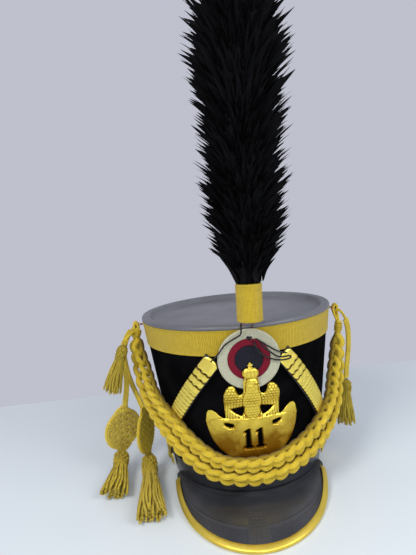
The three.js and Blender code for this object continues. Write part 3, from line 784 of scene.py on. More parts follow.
show("stamped_eagle_plate", plate_shape(), STANDING, plate_finish(), ["eagle_plate"], 60.0)

# ------------------------------------------------------------------ chin straps, scales and rosettes
# Each strap is black leather faced with lapping brass scales whose lower lips have three lobes. It
# runs down from the front of the lace to a pressed brass rosette on the side.
STRAP_THICK = 1.6
STRAP_STAND_OFF = 1.2
STRAP_TOP, STRAP_LOW = 165.0, 15.0
STRAP_TOP_ANGLE, STRAP_LOW_ANGLE = 18.6, 80.0
STRAP_END = 0.9
SCALE_COUNT = 27
SCALE_WIDTH = 19.0
SCALE_LAP = 1.75
TOP_SCALES = 4
TOP_SCALE_REACH = 0.050
ROSETTE_RADIUS = 15.0


def strap_place(side, share):
    angle = TRIM_TURN + side * mixed(STRAP_TOP_ANGLE, STRAP_LOW_ANGLE - side * TRIM_TURN, share)
    return on_body(angle, mixed(STRAP_TOP, STRAP_LOW, share))


def off_strap(side, share, across, out):
    """A point over the strap's straight run, across it and out from the felt, in millimetres."""
    place = strap_place(side, share)
    along = (strap_place(side, share + 0.01) - strap_place(side, share - 0.01)).normalized()
    outward = Vector((place.x, place.y, 0)).normalized()
    sideways = along.cross(outward).normalized()
    bow = across * across / (2 * CROWN_RADIUS)
    return place + sideways * across + sideways.cross(along) * (out - bow)


def strap_leather(side):
    section = [(-10, 0.1), (-9.6, 0), (9.6, 0), (10, 0.1), (10, 1.4), (9.6, 1.6), (-9.6, 1.6), (-10, 1.4)]

    def place(across, along):
        x, level = section[round(across * len(section)) % len(section)]
        return off_strap(side, along * STRAP_END, x, STRAP_STAND_OFF + level)

    return sized_chart(shaped_sheet(len(section), 40, place, True), 42, 200)


def strap_scale(side, number):
    """One scale, thinner at its hidden upper end; its lip lifts over the next scale down."""
    small = (STRAP_END - TOP_SCALES * TOP_SCALE_REACH) / (SCALE_COUNT - TOP_SCALES)
    reach = TOP_SCALE_REACH if number < TOP_SCALES else small
    start = number * TOP_SCALE_REACH
    if number >= TOP_SCALES:
        start = TOP_SCALES * TOP_SCALE_REACH + (number - TOP_SCALES) * small
    clear = STRAP_STAND_OFF + STRAP_THICK + 0.45

    def place(across, along):
        x = mixed(-1, 1, across)
        lobes = 0.11 * math.cos(x * 2.6 * math.pi) - 0.14 * x * x
        tip = 0.55 * (1 - math.sqrt(max(0.0, 1 - (x * 0.98) ** 2))) if number == 0 else 0.0
        share = start + reach * (tip * (1 - along) + along * (SCALE_LAP + lobes * along))
        lift = mixed(0.0, 2.9, along ** 1.4) + 0.4 * (1 - x * x) * along
        return off_strap(side, share, x * SCALE_WIDTH / 2, clear + lift)

    shape = shaped_sheet(14, 6, place)
    if number == 0:
        chart = shape.loops.layers.uv["chart"]
        for face in shape.faces:
            for corner in face.loops:
                corner[chart].uv.y = 1.0
    return shape


def scale_finish():
    """Polished scales with painted shade and dark tarnish just under the lip of the next scale up, where it laps
    over them.
    """
    brass = Finish("scale_brass", brass_constants)
    across, along = brass.chart()
    # painted shade under each lip above, with tarnish: the upper visible part of each scale turns dark brown
    lap_shade_and_tarnish = brass.between(along + brass.noise(300.0) * 0.06, 0.69, 0.60)
    haze = brass.noise(200.0, 4.0)
    brass.surface({"Base Color": brass.blend(lap_shade_and_tarnish, (0.96, 0.77, 0.14, 1), (0.07, 0.03, 0.005, 1)),
                   "Roughness": 0.24 + 0.14 * haze + 0.25 * lap_shade_and_tarnish})
    brass.relief(brass.noise(110.0, 2.0) + haze * 0.3, 0.0004)
    return brass.material


def gathered(shapes):
    """Joins shapes into one."""
    whole = bmesh.new()
    for shape in shapes:
        part = bpy.data.meshes.new("part")
        shape.to_mesh(part)
        shape.free()
        whole.from_mesh(part)
        bpy.data.meshes.remove(part)
    return whole


def facing_out(shape):
    """Turns each face of a thin sheet away from the hat's axis."""
    shape.normal_update()
    wrong = [face for face in shape.faces
             if face.normal.dot(Vector((face.calc_center_median().x, face.calc_center_median().y, 0))) < 0]
    bmesh.ops.reverse_faces(shape, faces=wrong)
    return shape


def rosette_shape():
    profile = [(0, 0), (ROSETTE_RADIUS, 0), (ROSETTE_RADIUS, 1.0), (14.4, 1.6), (13.6, 1.2), (12.8, 1.6),
               (11, 2.6), (9, 3.1), (7, 2.8), (6.2, 2.6), (5.8, 3.6), (5.2, 4.6), (3.4, 5.8), (1.6, 6.3), (0, 6.4)]
    shape = turned(profile, 96)
    for corner in shape.verts:
        radius = math.hypot(corner.co.x, corner.co.y)
        if 6.4 < radius < 13.2 and corner.co.z > 1:
            turn = math.atan2(corner.co.y, corner.co.x)
            corner.co.z += 0.55 * abs(math.sin(turn * 8)) - 0.3
    return shape


scale_brass = scale_finish()
rosette_brass = brass_finish("rosette_brass", BRASS_LIGHT, BRASS_DARK, 0.5, 0.24)
for side, hand in ((-1, "left"), (1, "right")):
    show(f"strap_leather_{hand}", strap_leather(side), STANDING, black_leather,
         [f"chin_strap_{hand}"])
    scales = facing_out(gathered([strap_scale(side, number) for number in range(SCALE_COUNT)]))
    scale_piece = show(f"brass_scales_{hand}", scales, STANDING, scale_brass,
                       [f"chin_scales_{hand}"], 50.0)
    wall = scale_piece.modifiers.new("brass_thickness", "SOLIDIFY")
    wall.thickness = 0.45 * MM
    wall.offset = -1
    seat = strap_place(side, 1)
    outward = body_outward(seat)
    seat += outward * 1.6
    show(f"pressed_rosette_{hand}", rosette_shape(), STANDING @ aimed(seat, outward), rosette_brass,
         [f"rosette_{hand}"], 50.0)

# ------------------------------------------------------------------ plume
# Thousands of black cock's feathers are bound up a stem so that each one curves up and outwards to a
# point. They cover a dark core and come to a rounded tuft at the top.
PLUME_SEAT = Vector((9.6, -139.0, 208.5))
PLUME_LEAN = math.radians(2)
SLEEVE_RADIUS = 13.6
SLEEVE_HEIGHT = 39.0
PLUME_START = SLEEVE_HEIGHT + GAP
PLUME_FORM = [(0, 0), (12, 0), (18, 8), (27, 22), (37, 40), (42, 70), (45, 120), (46, 175), (48, 230),
              (47, 268), (38, 294), (20, 308), (0, 312)]
FEATHER_DOUBLINGS = 12
GOLDEN_TURN = 2.39996
plume_axis = Vector((math.sin(PLUME_LEAN), 0, math.cos(PLUME_LEAN)))
plume_place = STANDING @ aimed(PLUME_SEAT, plume_axis)


def form_radius(height):
    for (low_r, low_h), (high_r, high_h) in zip(PLUME_FORM[1:], PLUME_FORM[2:]):
        if height <= high_h:
            return mixed(low_r, high_r, (height - low_h) / max(high_h - low_h, 1))
    return 0.0


def lay_feather(corners, tip, root, wide, curl, roll):
    """Bends a flat leaf, folded along its quill, from a root inside the plume out to its pointed tip."""
    chord = tip - root
    outward = Vector((tip.x, tip.y, 0)).normalized()
    level = chord.cross(outward).normalized()
    face = chord.cross(level).normalized()
    sideways = level * math.cos(roll) + face * math.sin(roll)
    crease = face * math.cos(roll) - level * math.sin(roll)
    for corner in corners:
        across, share = corner.co.x, (corner.co.y + 1) / 2
        half = wide * (1 - share ** 2.2) ** 0.8 * min(1.0, 0.35 + 3 * share) + 0.06
        middle = root + chord * share - outward * (curl * 4 * share * (1 - share))
        corner.co = middle + sideways * (half * across) - crease * (half * 0.35 * abs(across))


def plume_feathers():
    chance = random.Random(1804)
    shape = bmesh.new()
    bmesh.ops.create_grid(shape, x_segments=2, y_segments=6, size=1, calc_uvs=False)
    leaf_corners = len(shape.verts)
    for doubling in range(FEATHER_DOUBLINGS):
        bmesh.ops.duplicate(shape, geom=shape.verts[:] + shape.edges[:] + shape.faces[:])
    shape.verts.ensure_lookup_table()
    count = 2 ** FEATHER_DOUBLINGS
    for number in range(count):
        height = 4 + 304 * (number + 0.5) / count
        turn = number * GOLDEN_TURN + chance.uniform(-0.3, 0.3)
        near_top = eased(262, 312, height)
        near_foot = eased(40, 0, height)
        reach = form_radius(height) * chance.uniform(0.66, 0.96)
        if chance.random() < 0.24 and height > 22:
            reach = form_radius(height) + chance.uniform(-2.0, mixed(6, 12, eased(150, 260, height)))
        round_way = Vector((math.cos(turn), math.sin(turn), 0))
        tip = round_way * reach + Vector((0, 0, min(height + 3, 311)))
        long = mixed(mixed(30, 44, chance.random()), 14, near_foot)
        spread = mixed(0.74, 0.25, max(near_top, near_foot))
        inwards = round_way * min(reach * 0.86, long * spread)
        root = tip - inwards - Vector((0, 0, long * (1.12 - spread * 0.5)))
        root.z = max(root.z, 0.5)
        corners = shape.verts[number * leaf_corners:(number + 1) * leaf_corners]
        lay_feather(corners, tip, root, chance.uniform(2.2, 4.2) * mixed(1, 0.6, near_foot),
                    chance.uniform(3, 7), math.radians(chance.uniform(-75, 75)))
    return shape


def plume_core():
    profile = [(radius * 0.55, height) for radius, height in PLUME_FORM]
    profile[-1] = (0, 300)
    profile[-2] = (12, 296)
    return turned(profile, 32)


def feather_finish():
    """Glossy black feather with fine barbs along it and a breath of green and blue."""
    quill = Finish("black_feather", {"Specular IOR Level": 0.08})
    barb = quill.noise(900.0, 3.0)
    tint = quill.between(quill.noise(30.0), 0.35, 0.7)
    quill.surface({"Base Color": quill.blend(tint, (0.0010, 0.0010, 0.0012, 1), (0.0038, 0.0038, 0.0052, 1)),
                   "Roughness": 0.6 + 0.3 * barb})
    quill.relief(barb, 0.0004)
    return quill.material


feather_black = feather_finish()
lifted = Matrix.Translation((0, 0, PLUME_START))
show("plume_feathers", plume_feathers(), plume_place @ lifted, feather_black, ["plume"], 180.0)
show("plume_core", plume_core(), plume_place @ lifted, feather_black, [], 180.0)

# ------------------------------------------------------------------ plume sleeve, wires and hooks
# The feathers are bound into a sleeve of the same yellow lace, hemmed at both ends. Two copper
# wires carry it from behind the cockade, and copper wire eyes on each side hold the cords.
WIRE_RADIUS = 0.6
HOOK_HEIGHT = 190.0
HOOK_RADIUS = 4.4
sleeve_profile = [
    (2.4, 0), (12.2, 0), (13.2, 0.5), (SLEEVE_RADIUS, 1.6), (13.3, 2.6), (13.5, 4), (13.5, 12), (13.5, 22),
    (13.5, 31), (13.3, 32), (13.8, 33), (13.4, 34), (13.8, 35), (13.4, 36), (13.8, 37),
    (SLEEVE_RADIUS, 38.4), (12.8, 39), (12.0, 38.4), (12.0, 33), (2.4, 33), (2.4, 0),
]
sleeve_lace = galloon_finish("sleeve_lace", 0.0030, 0.0014, 2.2)
sleeve = turned(sleeve_profile, 72)
show("lace_sleeve", ring_chart(sleeve), plume_place, sleeve_lace, ["plume_sleeve"], 60.0)


def smooth_route(points, steps):
    """A smooth curve through the points, as evenly spaced places."""
    spots = [Vector(point) for point in points]
    spots = [spots[0] * 2 - spots[1], *spots, spots[-1] * 2 - spots[-2]]
    fine = []
    for a, b, c, d in zip(spots, spots[1:], spots[2:], spots[3:]):
        for i in range(16):
            t = i / 16
            fine.append(0.5 * (2 * b + (c - a) * t + (2 * a - 5 * b + 4 * c - d) * t * t
                               + (3 * b - a - 3 * c + d) * t ** 3))
    fine.append(spots[-2])
    return evenly_spaced(fine, steps)


def evenly_spaced(fine, steps):
    reached = [0.0]
    for here, there in zip(fine, fine[1:]):
        reached.append(reached[-1] + (there - here).length)
    route = []
    span = 0
    for i in range(steps + 1):
        target = reached[-1] * i / steps
        while span < len(fine) - 2 and reached[span + 1] < target:
            span += 1
        share = (target - reached[span]) / max(reached[span + 1] - reached[span], 1e-9)
        route.append(fine[span].lerp(fine[span + 1], min(share, 1.0)))
    return route


def route_length(route):
    return sum((there - here).length for here, there in zip(route, route[1:]))


def carried_frames(route, facing=None):
    """The two directions square to the route at each place, turned as little as possible on the way."""
    frames = []
    outward = None
    for i, place in enumerate(route):
        ahead = (route[min(i + 1, len(route) - 1)] - route[max(i - 1, 0)]).normalized()
        if facing is not None:
            outward = facing[i]
        elif outward is None:
            outward = Vector((0, 0, 1)) if abs(ahead.z) < 0.8 else Vector((0, -1, 0))
        outward = (outward - ahead * outward.dot(ahead)).normalized()
        frames.append((ahead.cross(outward), outward))
    return frames


def strand(route, sides, radius, facing=None, twist=0.0, chart_wide=None):
    """A tube along a route; radius(turn, share) gives its two half sizes, or is one number."""
    frames = carried_frames(route, facing)
    last = len(route) - 1

    def place(across, along):
        step = round(along * last)
        turn = across * math.tau
        wide, deep = radius(turn, along) if callable(radius) else (radius, radius)
        sideways, outward = frames[step]
        lie = turn + twist * along
        return route[step] + sideways * (wide * math.cos(lie)) + outward * (deep * math.sin(lie))

    wide = chart_wide or math.tau
    return sized_chart(shaped_sheet(sides, last, place, True), wide, route_length(route))


def copper_finish():
    copper = Finish("copper_wire", {"Metallic": 1.0})
    tarnish = copper.between(copper.noise(500.0, 4.0), 0.4, 0.7)
    copper.surface({"Base Color": copper.blend(tarnish, (0.55, 0.22, 0.09, 1), (0.20, 0.07, 0.03, 1)),
                    "Roughness": 0.3 + 0.2 * tarnish})
    copper.relief(tarnish, 0.0001)
    return copper.material


copper_wire = copper_finish()
for side, hand in ((-1, "left"), (1, "right")):
    angle = TRIM_TURN + side * 2.6
    wire_route = smooth_route([
        on_body(angle, CROWN_HEIGHT - 24, 1.1),
        on_body(angle, CROWN_HEIGHT - 12, 1.1),
        on_body(angle, CROWN_HEIGHT - 2, 2.4),
        PLUME_SEAT + Vector((side * 5, 0, 0)) - plume_axis * 1.2,
    ], 24)
    show(f"copper_wire_{hand}", strand(wire_route, 10, WIRE_RADIUS), STANDING, copper_wire,
         [f"plume_wire_{hand}"])
    eye = on_body(side * 86, HOOK_HEIGHT, HOOK_RADIUS + WIRE_RADIUS + 0.6)
    eye_ring = bmesh.new()
    quarter_turn = Matrix.Rotation(math.pi / 2, 4, "X")
    bmesh.ops.create_circle(eye_ring, segments=12, radius=WIRE_RADIUS,
                            matrix=Matrix.Translation((HOOK_RADIUS, 0, 0)) @ quarter_turn)
    bmesh.ops.spin(eye_ring, geom=eye_ring.verts[:] + eye_ring.edges[:], cent=(0, 0, 0), axis=(0, 0, 1),
                   dvec=(0, 0, 0), angle=math.tau, steps=40, use_merge=True)
    bmesh.ops.recalc_face_normals(eye_ring, faces=eye_ring.faces)
    show(f"copper_eye_{hand}", eye_ring, STANDING @ Matrix.Translation(eye), copper_wire,
         [f"wire_hook_{hand}"])

# ------------------------------------------------------------------ front plait
# Two rows of thick yellow worsted cord are chained loop through loop and sewn side by side. The
# plait hangs from the wire eyes and swags low across the front; whipped knots end it.
PLAIT_ROUTE = [
    (-82, 172, 14, -55), (-82, 152, 15, -50), (-80, 132, 15, -50), (-75.5, 115, 14, -50),
    (-67, 101.5, 13.5, -49), (-58, 91, 13, -48), (-50, 81, 12.8, -46), (-43, 70, 12.5, -42),
    (-36.5, 59, 11.6, -36.5), (-30, 49, 10.6, -30), (-23, 41, 10, -23), (-15, 36.5, 10, -15),
    (-6, 34.5, 10, -6), (4, 34.5, 10, 4), (14, 36, 10, 14), (23, 40, 10, 23), (32, 46, 10.5, 31),
    (41, 53.5, 11.4, 39), (50, 62, 12.2, 46), (59, 71, 12.8, 52), (68, 82, 13.4, 57),
    (75, 97, 13.5, 61), (79, 115, 14, 64), (81, 134, 14, 66), (82, 156, 14, 68),
]
CHAIN_PITCH = 15.0
CHAIN_OVERLAP = 0.32
YARN_LOBES = 9
HAT_TURN = REST_PLACE @ Matrix.Rotation(-LEAN, 4, "X")


def stood(place):
    """Carries a point of the upright hat to where it stands, still in millimetres."""
    return HAT_TURN @ place


def cord_finish(name, dark, light, ply, lay, painted_shade=None):
    """Worsted cord: threads run along each yarn; the last argument is the colour of painted shade deep between
    stitches.
    """
    cord = Finish(name, {"Roughness": 0.55, "Sheen Weight": 0.08, "Sheen Roughness": 0.35,
                         "Specular IOR Level": 0.3})
    across, along = cord.chart()
    line = ((across / ply + along / lay) * math.tau).maths("SINE")
    fuzz = cord.noise(1500.0, 3.0)
    shade = cord.between(line * 0.3 + fuzz + cord.noise(70.0), 0.3, 1.5)
    colour = cord.blend(shade, dark, light)
    if painted_shade:
        depth = cord.node("ShaderNodeUVMap", {"uv_map": "depth"}, {})
        out = cord.node("ShaderNodeSeparateXYZ", {}, {0: depth}, "X")
        # painted shade: corners lying deep in the plait are blended towards the shade colour
        colour = cord.blend(cord.between(out, -0.0042, 0.0006), painted_shade, colour)
    cord.surface({"Base Color": colour})
    cord.relief(line * 0.6 + fuzz, 0.0004)
    return cord.material


CORD_DARK = (0.44, 0.29, 0.006, 1)
CORD_LIGHT = (0.88, 0.65, 0.042, 1)
# Colour of the painted shade deep between the plait's stitches.
CORD_PAINTED_SHADE = (0.13, 0.075, 0.002, 1)
plait_yarn = cord_finish("plait_yarn", CORD_DARK, CORD_LIGHT, 0.0011, 0.012, CORD_PAINTED_SHADE)
knot_yarn = cord_finish("knot_yarn", CORD_DARK, CORD_LIGHT, 0.0011, 0.012)


def chain_stitch(offset, width, depth, lean):
    """One stitch: up through the last loop, out along one leg, round the head and back to the foot."""
    pattern = [
        (0.02, 0.00, -0.9), (0.14, 0.38, 0.0), (0.42, 1.0, 0.95), (0.80, 1.2, 0.8), (1.14, 0.82, 0.15),
        (1.34, 0.0, -0.35), (1.14, -0.82, 0.15), (0.80, -1.2, 0.8), (0.42, -1.0, 0.95), (0.14, -0.38, 0.0),
        (0.10, 0.0, -1.0), (0.55, 0.0, -1.3),
    ]
    stitch = []
    for along, across, out in pattern:
        x, y = across * width, out * depth
        stitch.append((along, x * math.cos(lean) - y * math.sin(lean) + offset,
                       x * math.sin(lean) + y * math.cos(lean)))
    return stitch


def chain_route(centre, frames, length, offset, width, depth, lean):
    """The yarn's whole way along the plait, stitch after stitch."""
    last = len(centre) - 1
    stitches = round(length / CHAIN_PITCH)
    spots = []
    for number in range(stitches):
        for along, across, out in chain_stitch(offset, width, depth, lean):
            share = min((number + along) / (stitches + CHAIN_OVERLAP), 1.0) * last
            step = min(int(share), last - 1)
            rest = share - step
            place = centre[step].lerp(centre[step + 1], rest)
            gathered_in = mixed(0.3, 1.0, eased(0, 0.10, min(share, last - share) / last))
            sideways = frames[step][0].lerp(frames[step + 1][0], rest)
            outward = frames[step][1].lerp(frames[step + 1][1], rest)
            spots.append(place + sideways * across * gathered_in + outward * out)
    return spots, stitches


def lobed(wide, deep, lobes, depth):
    """A yarn's section: a rounded bundle with a groove between neighbouring threads."""
    def size(turn, share):
        groove = 1 - depth * (1 - abs(math.sin(turn * lobes / 2)))
        return wide * groove, deep * groove
    return size


plait_centre = smooth_route([stood(on_body(angle, z, out)) for angle, z, out, face in PLAIT_ROUTE], 240)
plait_facing = smooth_route([(math.sin(math.radians(face)), -math.cos(math.radians(face)), 0)
                             for angle, z, out, face in PLAIT_ROUTE], 240)
plait_frames = carried_frames(plait_centre, plait_facing)
plait_length = route_length(plait_centre)

def with_depths(shape):
    """Notes how far out of the plait's middle each corner lies, so that deep places can be given painted shade."""
    middles = nearest_among(plait_centre)
    depths = {}
    for corner in shape.verts:
        spot, step, gap = middles.find(corner.co)
        depths[corner] = (corner.co - spot).dot(plait_frames[step][1]) * MM
    layer = shape.loops.layers.uv.new("depth")
    for face in shape.faces:
        for corner in face.loops:
            corner[layer].uv = (depths[corner.vert], 0)
    return shape


KNOT_FEET = [stood(on_body(-82, 175.5, 14)), stood(on_body(82, 158.5, 14))]
plait_rows = []
for offset, width, depth, lean, yarn in ((-8.2, 4.9, 4.2, -0.5, 3.4), (8.2, 4.9, 4.2, -0.5, 3.4)):
    spots, stitches = chain_route(plait_centre, plait_frames, plait_length, offset, width, depth, lean)
    inside = Vector((0, 0, 4))
    spots = [KNOT_FEET[0] + inside, KNOT_FEET[0], *spots, KNOT_FEET[1], KNOT_FEET[1] + inside]
    route = smooth_route(spots, stitches * 32)
    plait_rows.append(strand(route, YARN_LOBES * 3, lobed(yarn, yarn, YARN_LOBES, 0.15), chart_wide=26))
plait = show("chained_plait", with_depths(gathered(plait_rows)), UPRIGHT, plait_yarn,
             ["front_plait"], 70.0)


def twisted_cord(route, radius, pitch):
    """Two plies laid up into a cord."""
    turns = route_length(route) / pitch
    return strand(route, 7, lobed(radius * 1.06, radius * 0.78, 2, 0.38), twist=turns * math.tau,
                  chart_wide=9)


def whipped(low, run, radius):
    """A cord wound tightly round a bundle, from a place along a run."""
    thick = 1.6
    turns = round(run.length / (thick * 1.75))
    across, outward = carried_frames([low, low + run])[0]
    spots = []
    for i in range(turns * 16 + 1):
        share = i / (turns * 16)
        turn = share * turns * math.tau
        belly = (radius - thick) * mixed(0.78, 1.0, math.sin(math.pi * share) ** 0.5)
        off_middle = (across * math.cos(turn) + outward * math.sin(turn)) * belly
        spots.append(low + run * mixed(0.06, 0.94, share) + off_middle)
    bundle = strand([low + run * (i / 12) for i in range(13)], 16, radius - thick, chart_wide=24)
    return gathered([bundle, twisted_cord(smooth_route(spots, turns * 40), thick, 7.0)])


def eye_loops(top, angle):
    """The bights of cord that carry a knot in its wire eye."""
    bights = []
    for turn in (angle - 1.5, angle, angle + 1.5):
        spots = [top - Vector((0, 0, 4))]
        for rise, out in ((-4, 12.2), (1.5, 12.2), (3.8, 10), (1.5, 7.8), (-4, 7.8)):
            spots.append(stood(on_body(turn, HOOK_HEIGHT + rise, out)))
        spots.append(top - Vector((0, 0, 6)))
        bights.append(strand(smooth_route(spots, 44), 12, lobed(1.6, 1.6, 4, 0.2), chart_wide=10))
    return bights


def tie_loops(spots):
    """Two turns of cord side by side that tie the top of a flat side cord up into the knot."""
    return [strand(smooth_route([Vector(spot) + Vector((0, shift, 0)) for spot in spots], 24), 12,
                   lobed(1.6, 1.6, 4, 0.2), chart_wide=10) for shift in (-1.4, 1.4)]


SIDE_TIES = {
    "left": [[(-129, 19, 189), (-134, 11, 191), (-140.5, 3, 186), (-142, 3.5, 182)],
             [(-127, 24, 193), (-132, 27, 195), (-138.5, 26, 189), (-140, 27, 185)]],
    "right": [[(129, 24, 193), (135, 21, 194), (141.5, 19, 183), (143, 20, 176)]],
}
for hand, low, high, radius, eye in (
        ("left", KNOT_FEET[0], stood(on_body(-84, 184, 9)), 6.5, -84),
        ("right", KNOT_FEET[1], stood(on_body(83.2, 173, 14.8)), 5.6, 86)):
    run = high - low
    ties = [tie for spots in SIDE_TIES[hand] for tie in tie_loops(spots)]
    shape = gathered([whipped(low, run, radius), *eye_loops(high, eye), *ties])
    show(f"whipped_knot_{hand}", shape, UPRIGHT, knot_yarn,
                      [f"knot_{hand}"], 70.0)
plait_centre[0] * MM
[spot * MM for spot in plait_centre]

# ------------------------------------------------------------------ tassels
# Each tassel has a knotted head worked over a ball and a skirt of twisted cords. Two large ones drag
# on the table in front; two short ones hang clear at the sides.
TASSEL_ROWS = [(0, 0.2), (0.05, 0.5), (0.18, 0.56), (0.26, 0.46), (0.5, 0.68), (0.8, 0.9), (1, 1)]
TASSELS = {
    "front": (19, 0.5, [(-167.5, 10, 29), (-167, -2, 20), (-167.5, -26, 13), (-168, -54, 10)]),
    "back": (19, 0.5, [(-129.5, 0, 27), (-128, -14, 18), (-123, -50, 12), (-116, -103, 10)]),
    "upper": (13, 0.8, [(-143, -8, 181), (-148, -9, 168), (-156, -9, 148), (-165, -9, 122)]),
    "right": (13, 0.8, [(139.5, 21, 98), (139, 21, 84), (138, 21, 62), (138, 21, 36)]),
}
NECK = 0.27


def tassel_girth(share):
    for (low_s, low_w), (high_s, high_w) in zip(TASSEL_ROWS, TASSEL_ROWS[1:]):
        if share <= high_s:
            return mixed(low_w, high_w, (share - low_s) / (high_s - low_s))
    return 1.0


def tassel_spot(route, frames, size, flatness, share, turn, depth, slack=0.0):
    """A place inside the tassel's form: its share of the length, its turn and its depth from the middle."""
    last = len(route) - 1
    step = min(int(share * last), last - 1)
    rest = share * last - step
    across, outward = frames[step]
    girth = size * tassel_girth(share) * depth - slack
    flat = mixed(1, flatness, share)
    return (route[step].lerp(route[step + 1], rest) + across * (girth * math.cos(turn))
            + outward * (girth * math.sin(turn) * flat))


def tassel_shape(size, flatness, spots, chance):
    route = smooth_route(spots, 60)
    frames = carried_frames(route)
    thick = size * 0.082
    parts = []
    for ring, count in ((0.92, 20), (0.66, 14), (0.36, 7)):
        for number in range(count):
            turn = math.tau * (number + chance.uniform(-0.25, 0.25)) / count
            end = 1 - chance.uniform(0.0, 0.07)
            wander = chance.uniform(-0.16, 0.16)
            way = []
            for i in range(13):
                share = mixed(NECK - 0.06, end, i / 12)
                waver = turn + wander * math.sin(i * 0.6) + wander * i / 12
                way.append(tassel_spot(route, frames, size, flatness, share, waver, ring, thick * 0.6))
            parts.append(twisted_cord(smooth_route(way, 92), thick, thick * 3.8))
    for way_round in (-1, 1):
        for number in range(8):
            way = []
            for i in range(12):
                share = mixed(0.015, NECK, i / 11)
                turn = math.tau * number / 8 + way_round * i * 0.17
                lift = 0.4 * way_round * math.cos(i * math.pi)
                way.append(tassel_spot(route, frames, size, flatness, share, turn, 1.0, thick * 0.7 + lift))
            parts.append(twisted_cord(smooth_route(way, 44), thick * 0.9, thick * 3.2))
    for share in (0.0, 0.235, 0.27):
        way = [tassel_spot(route, frames, size, flatness, share + 0.004, math.tau * i / 24, 1.0, thick * 0.2)
               for i in range(25)]
        parts.append(twisted_cord(smooth_route(way, 110), thick * 0.9, thick * 3.2))
    core = [[tassel_spot(route, frames, size, flatness, share, math.tau * k / 16,
                         0.4 if share > NECK else 0.8) for k in range(16)]
            for share in (0.01, 0.06, 0.12, 0.18, 0.24, 0.4, 0.6, 0.8, 0.93)]
    parts.append(shaped_sheet(16, 8, lambda a, b: core[round(b * 8)][round(a * 16) % 16], True))
    return gathered(parts)


tassel_yarn = cord_finish("tassel_yarn", (0.36, 0.245, 0.008, 1), (0.84, 0.64, 0.055, 1), 0.0011, 0.004)
tassel_chance = random.Random(1812)
for name, (size, flatness, spots) in TASSELS.items():
    show(f"corded_tassel_{name}", tassel_shape(size, flatness, spots, tassel_chance), UPRIGHT,
                         tassel_yarn, [f"tassel_{name}"], 70.0)

# ------------------------------------------------------------------ raquettes
# A raquette is an oval mat of doubled cord woven over and under on the slant, edged with a plaited
# border. One hangs open at the left, and the other is seen from its edge behind it.
RAQUETTE_HALF_WIDTH = 26.0
RAQUETTE_HALF_HEIGHT = 28.5
MESH = 6.3
MAT_CORD = 1.25


def mat_strand(slope, number, shift):
    """One cord of the mat, as (sideways, up, out) spots where the oval lets it run."""
    offset = number * MESH
    spots = []
    for i in range(-36, 37):
        run = i * MESH / 4
        side = slope
        x = (run * side + offset + shift) / math.sqrt(2)
        y = (run - side * (offset + shift)) / math.sqrt(2)
        if (x / (RAQUETTE_HALF_WIDTH - 3)) ** 2 + (y / (RAQUETTE_HALF_HEIGHT - 3)) ** 2 < 1:
            parity = math.cos(math.pi * (run / MESH + number))
            spots.append((x, y, side * 1.15 * parity))
    return spots


def raquette_shape(centre, sideways, upward, hung_from, tassel_top):
    outward = sideways.cross(upward).normalized()
    up = outward.cross(sideways).normalized()
    sideways = sideways.normalized()

    def laid(x, y, out):
        return centre + sideways * x + up * y + outward * out

    parts = []
    for slope in (-1, 1):
        for number in range(-4, 5):
            for shift in (-MAT_CORD, MAT_CORD):
                spots = mat_strand(slope, number, shift)
                if len(spots) > 3:
                    route = smooth_route([laid(*spot) for spot in spots], len(spots) * 4)
                    parts.append(strand(route, 8, MAT_CORD, chart_wide=8))
    for end, far in ((1, hung_from), (-1, tassel_top)):
        for lean in (-0.62, -0.38, -0.13, 0.13, 0.38, 0.62):
            edge = laid(math.sin(lean) * RAQUETTE_HALF_WIDTH * 0.9,
                        end * math.cos(lean) * RAQUETTE_HALF_HEIGHT * 0.9, 0)
            near = laid(math.sin(lean) * RAQUETTE_HALF_WIDTH * 0.55, end * (RAQUETTE_HALF_HEIGHT + 0.5), 0)
            gather = sideways * (lean * 4.5)
            parts.append(strand(smooth_route([edge, near, far + gather], 24), 8, 1.4, chart_wide=8))
    for ply in range(3):
        way = []
        for i in range(97):
            turn = math.tau * i / 96
            wave = turn * 12 + ply * math.tau / 3
            reach = -2.0 + 1.5 * math.sin(wave)
            way.append(laid((RAQUETTE_HALF_WIDTH + reach) * math.sin(turn),
                            (RAQUETTE_HALF_HEIGHT + reach) * math.cos(turn), 1.3 * math.sin(2 * wave)))
        parts.append(strand(smooth_route(way, 288), 8, 1.35, chart_wide=8))
    return gathered(parts)


net_yarn = cord_finish("net_yarn", (0.40, 0.28, 0.015, 1), (0.86, 0.67, 0.10, 1), 0.0012, 0.006)
raquettes = {
    "front": show("woven_raquette_front",
                  raquette_shape(Vector((-162, 12, 60)), Vector((0.77, 0.64, 0)), Vector((0.2, 0, 0.98)),
                                 Vector((-155.5, 12, 94)), Vector((-167.5, 9, 27))),
                  UPRIGHT, net_yarn, ["raquette_front"], 70.0),
    "back": show("woven_raquette_back",
                 raquette_shape(Vector((-130, 2, 59.5)), Vector((0.25, 0.97, 0)), Vector((0, 0, 1)),
                                Vector((-130.5, 3, 93)), Vector((-129.5, 0, 25))),
                 UPRIGHT, tassel_yarn, ["raquette_back"], 70.0),
}

# ------------------------------------------------------------------ side cords
# Flat braided cords hang from the wire eyes at both sides and carry the raquettes and tassels.
TAPE_WIDTH = 9.0
SIDE_ROUTES = {
    "front": [(-140.5, 3, 186), (-146, 6, 176), (-148, 9, 160), (-148.5, 11, 140), (-150, 12, 120),
              (-153, 12, 104), (-155.5, 12, 92.5)],
    "back": [(-138.5, 26, 189), (-146, 31, 179), (-152, 33, 160), (-151, 30, 140), (-145, 21, 120),
             (-136, 9, 103), (-130.5, 3, 91)],
    "right": [(141.5, 19, 182), (144.5, 21, 168), (145, 22, 150), (143.5, 23, 130), (141, 22, 113),
              (140, 21, 101)],
}


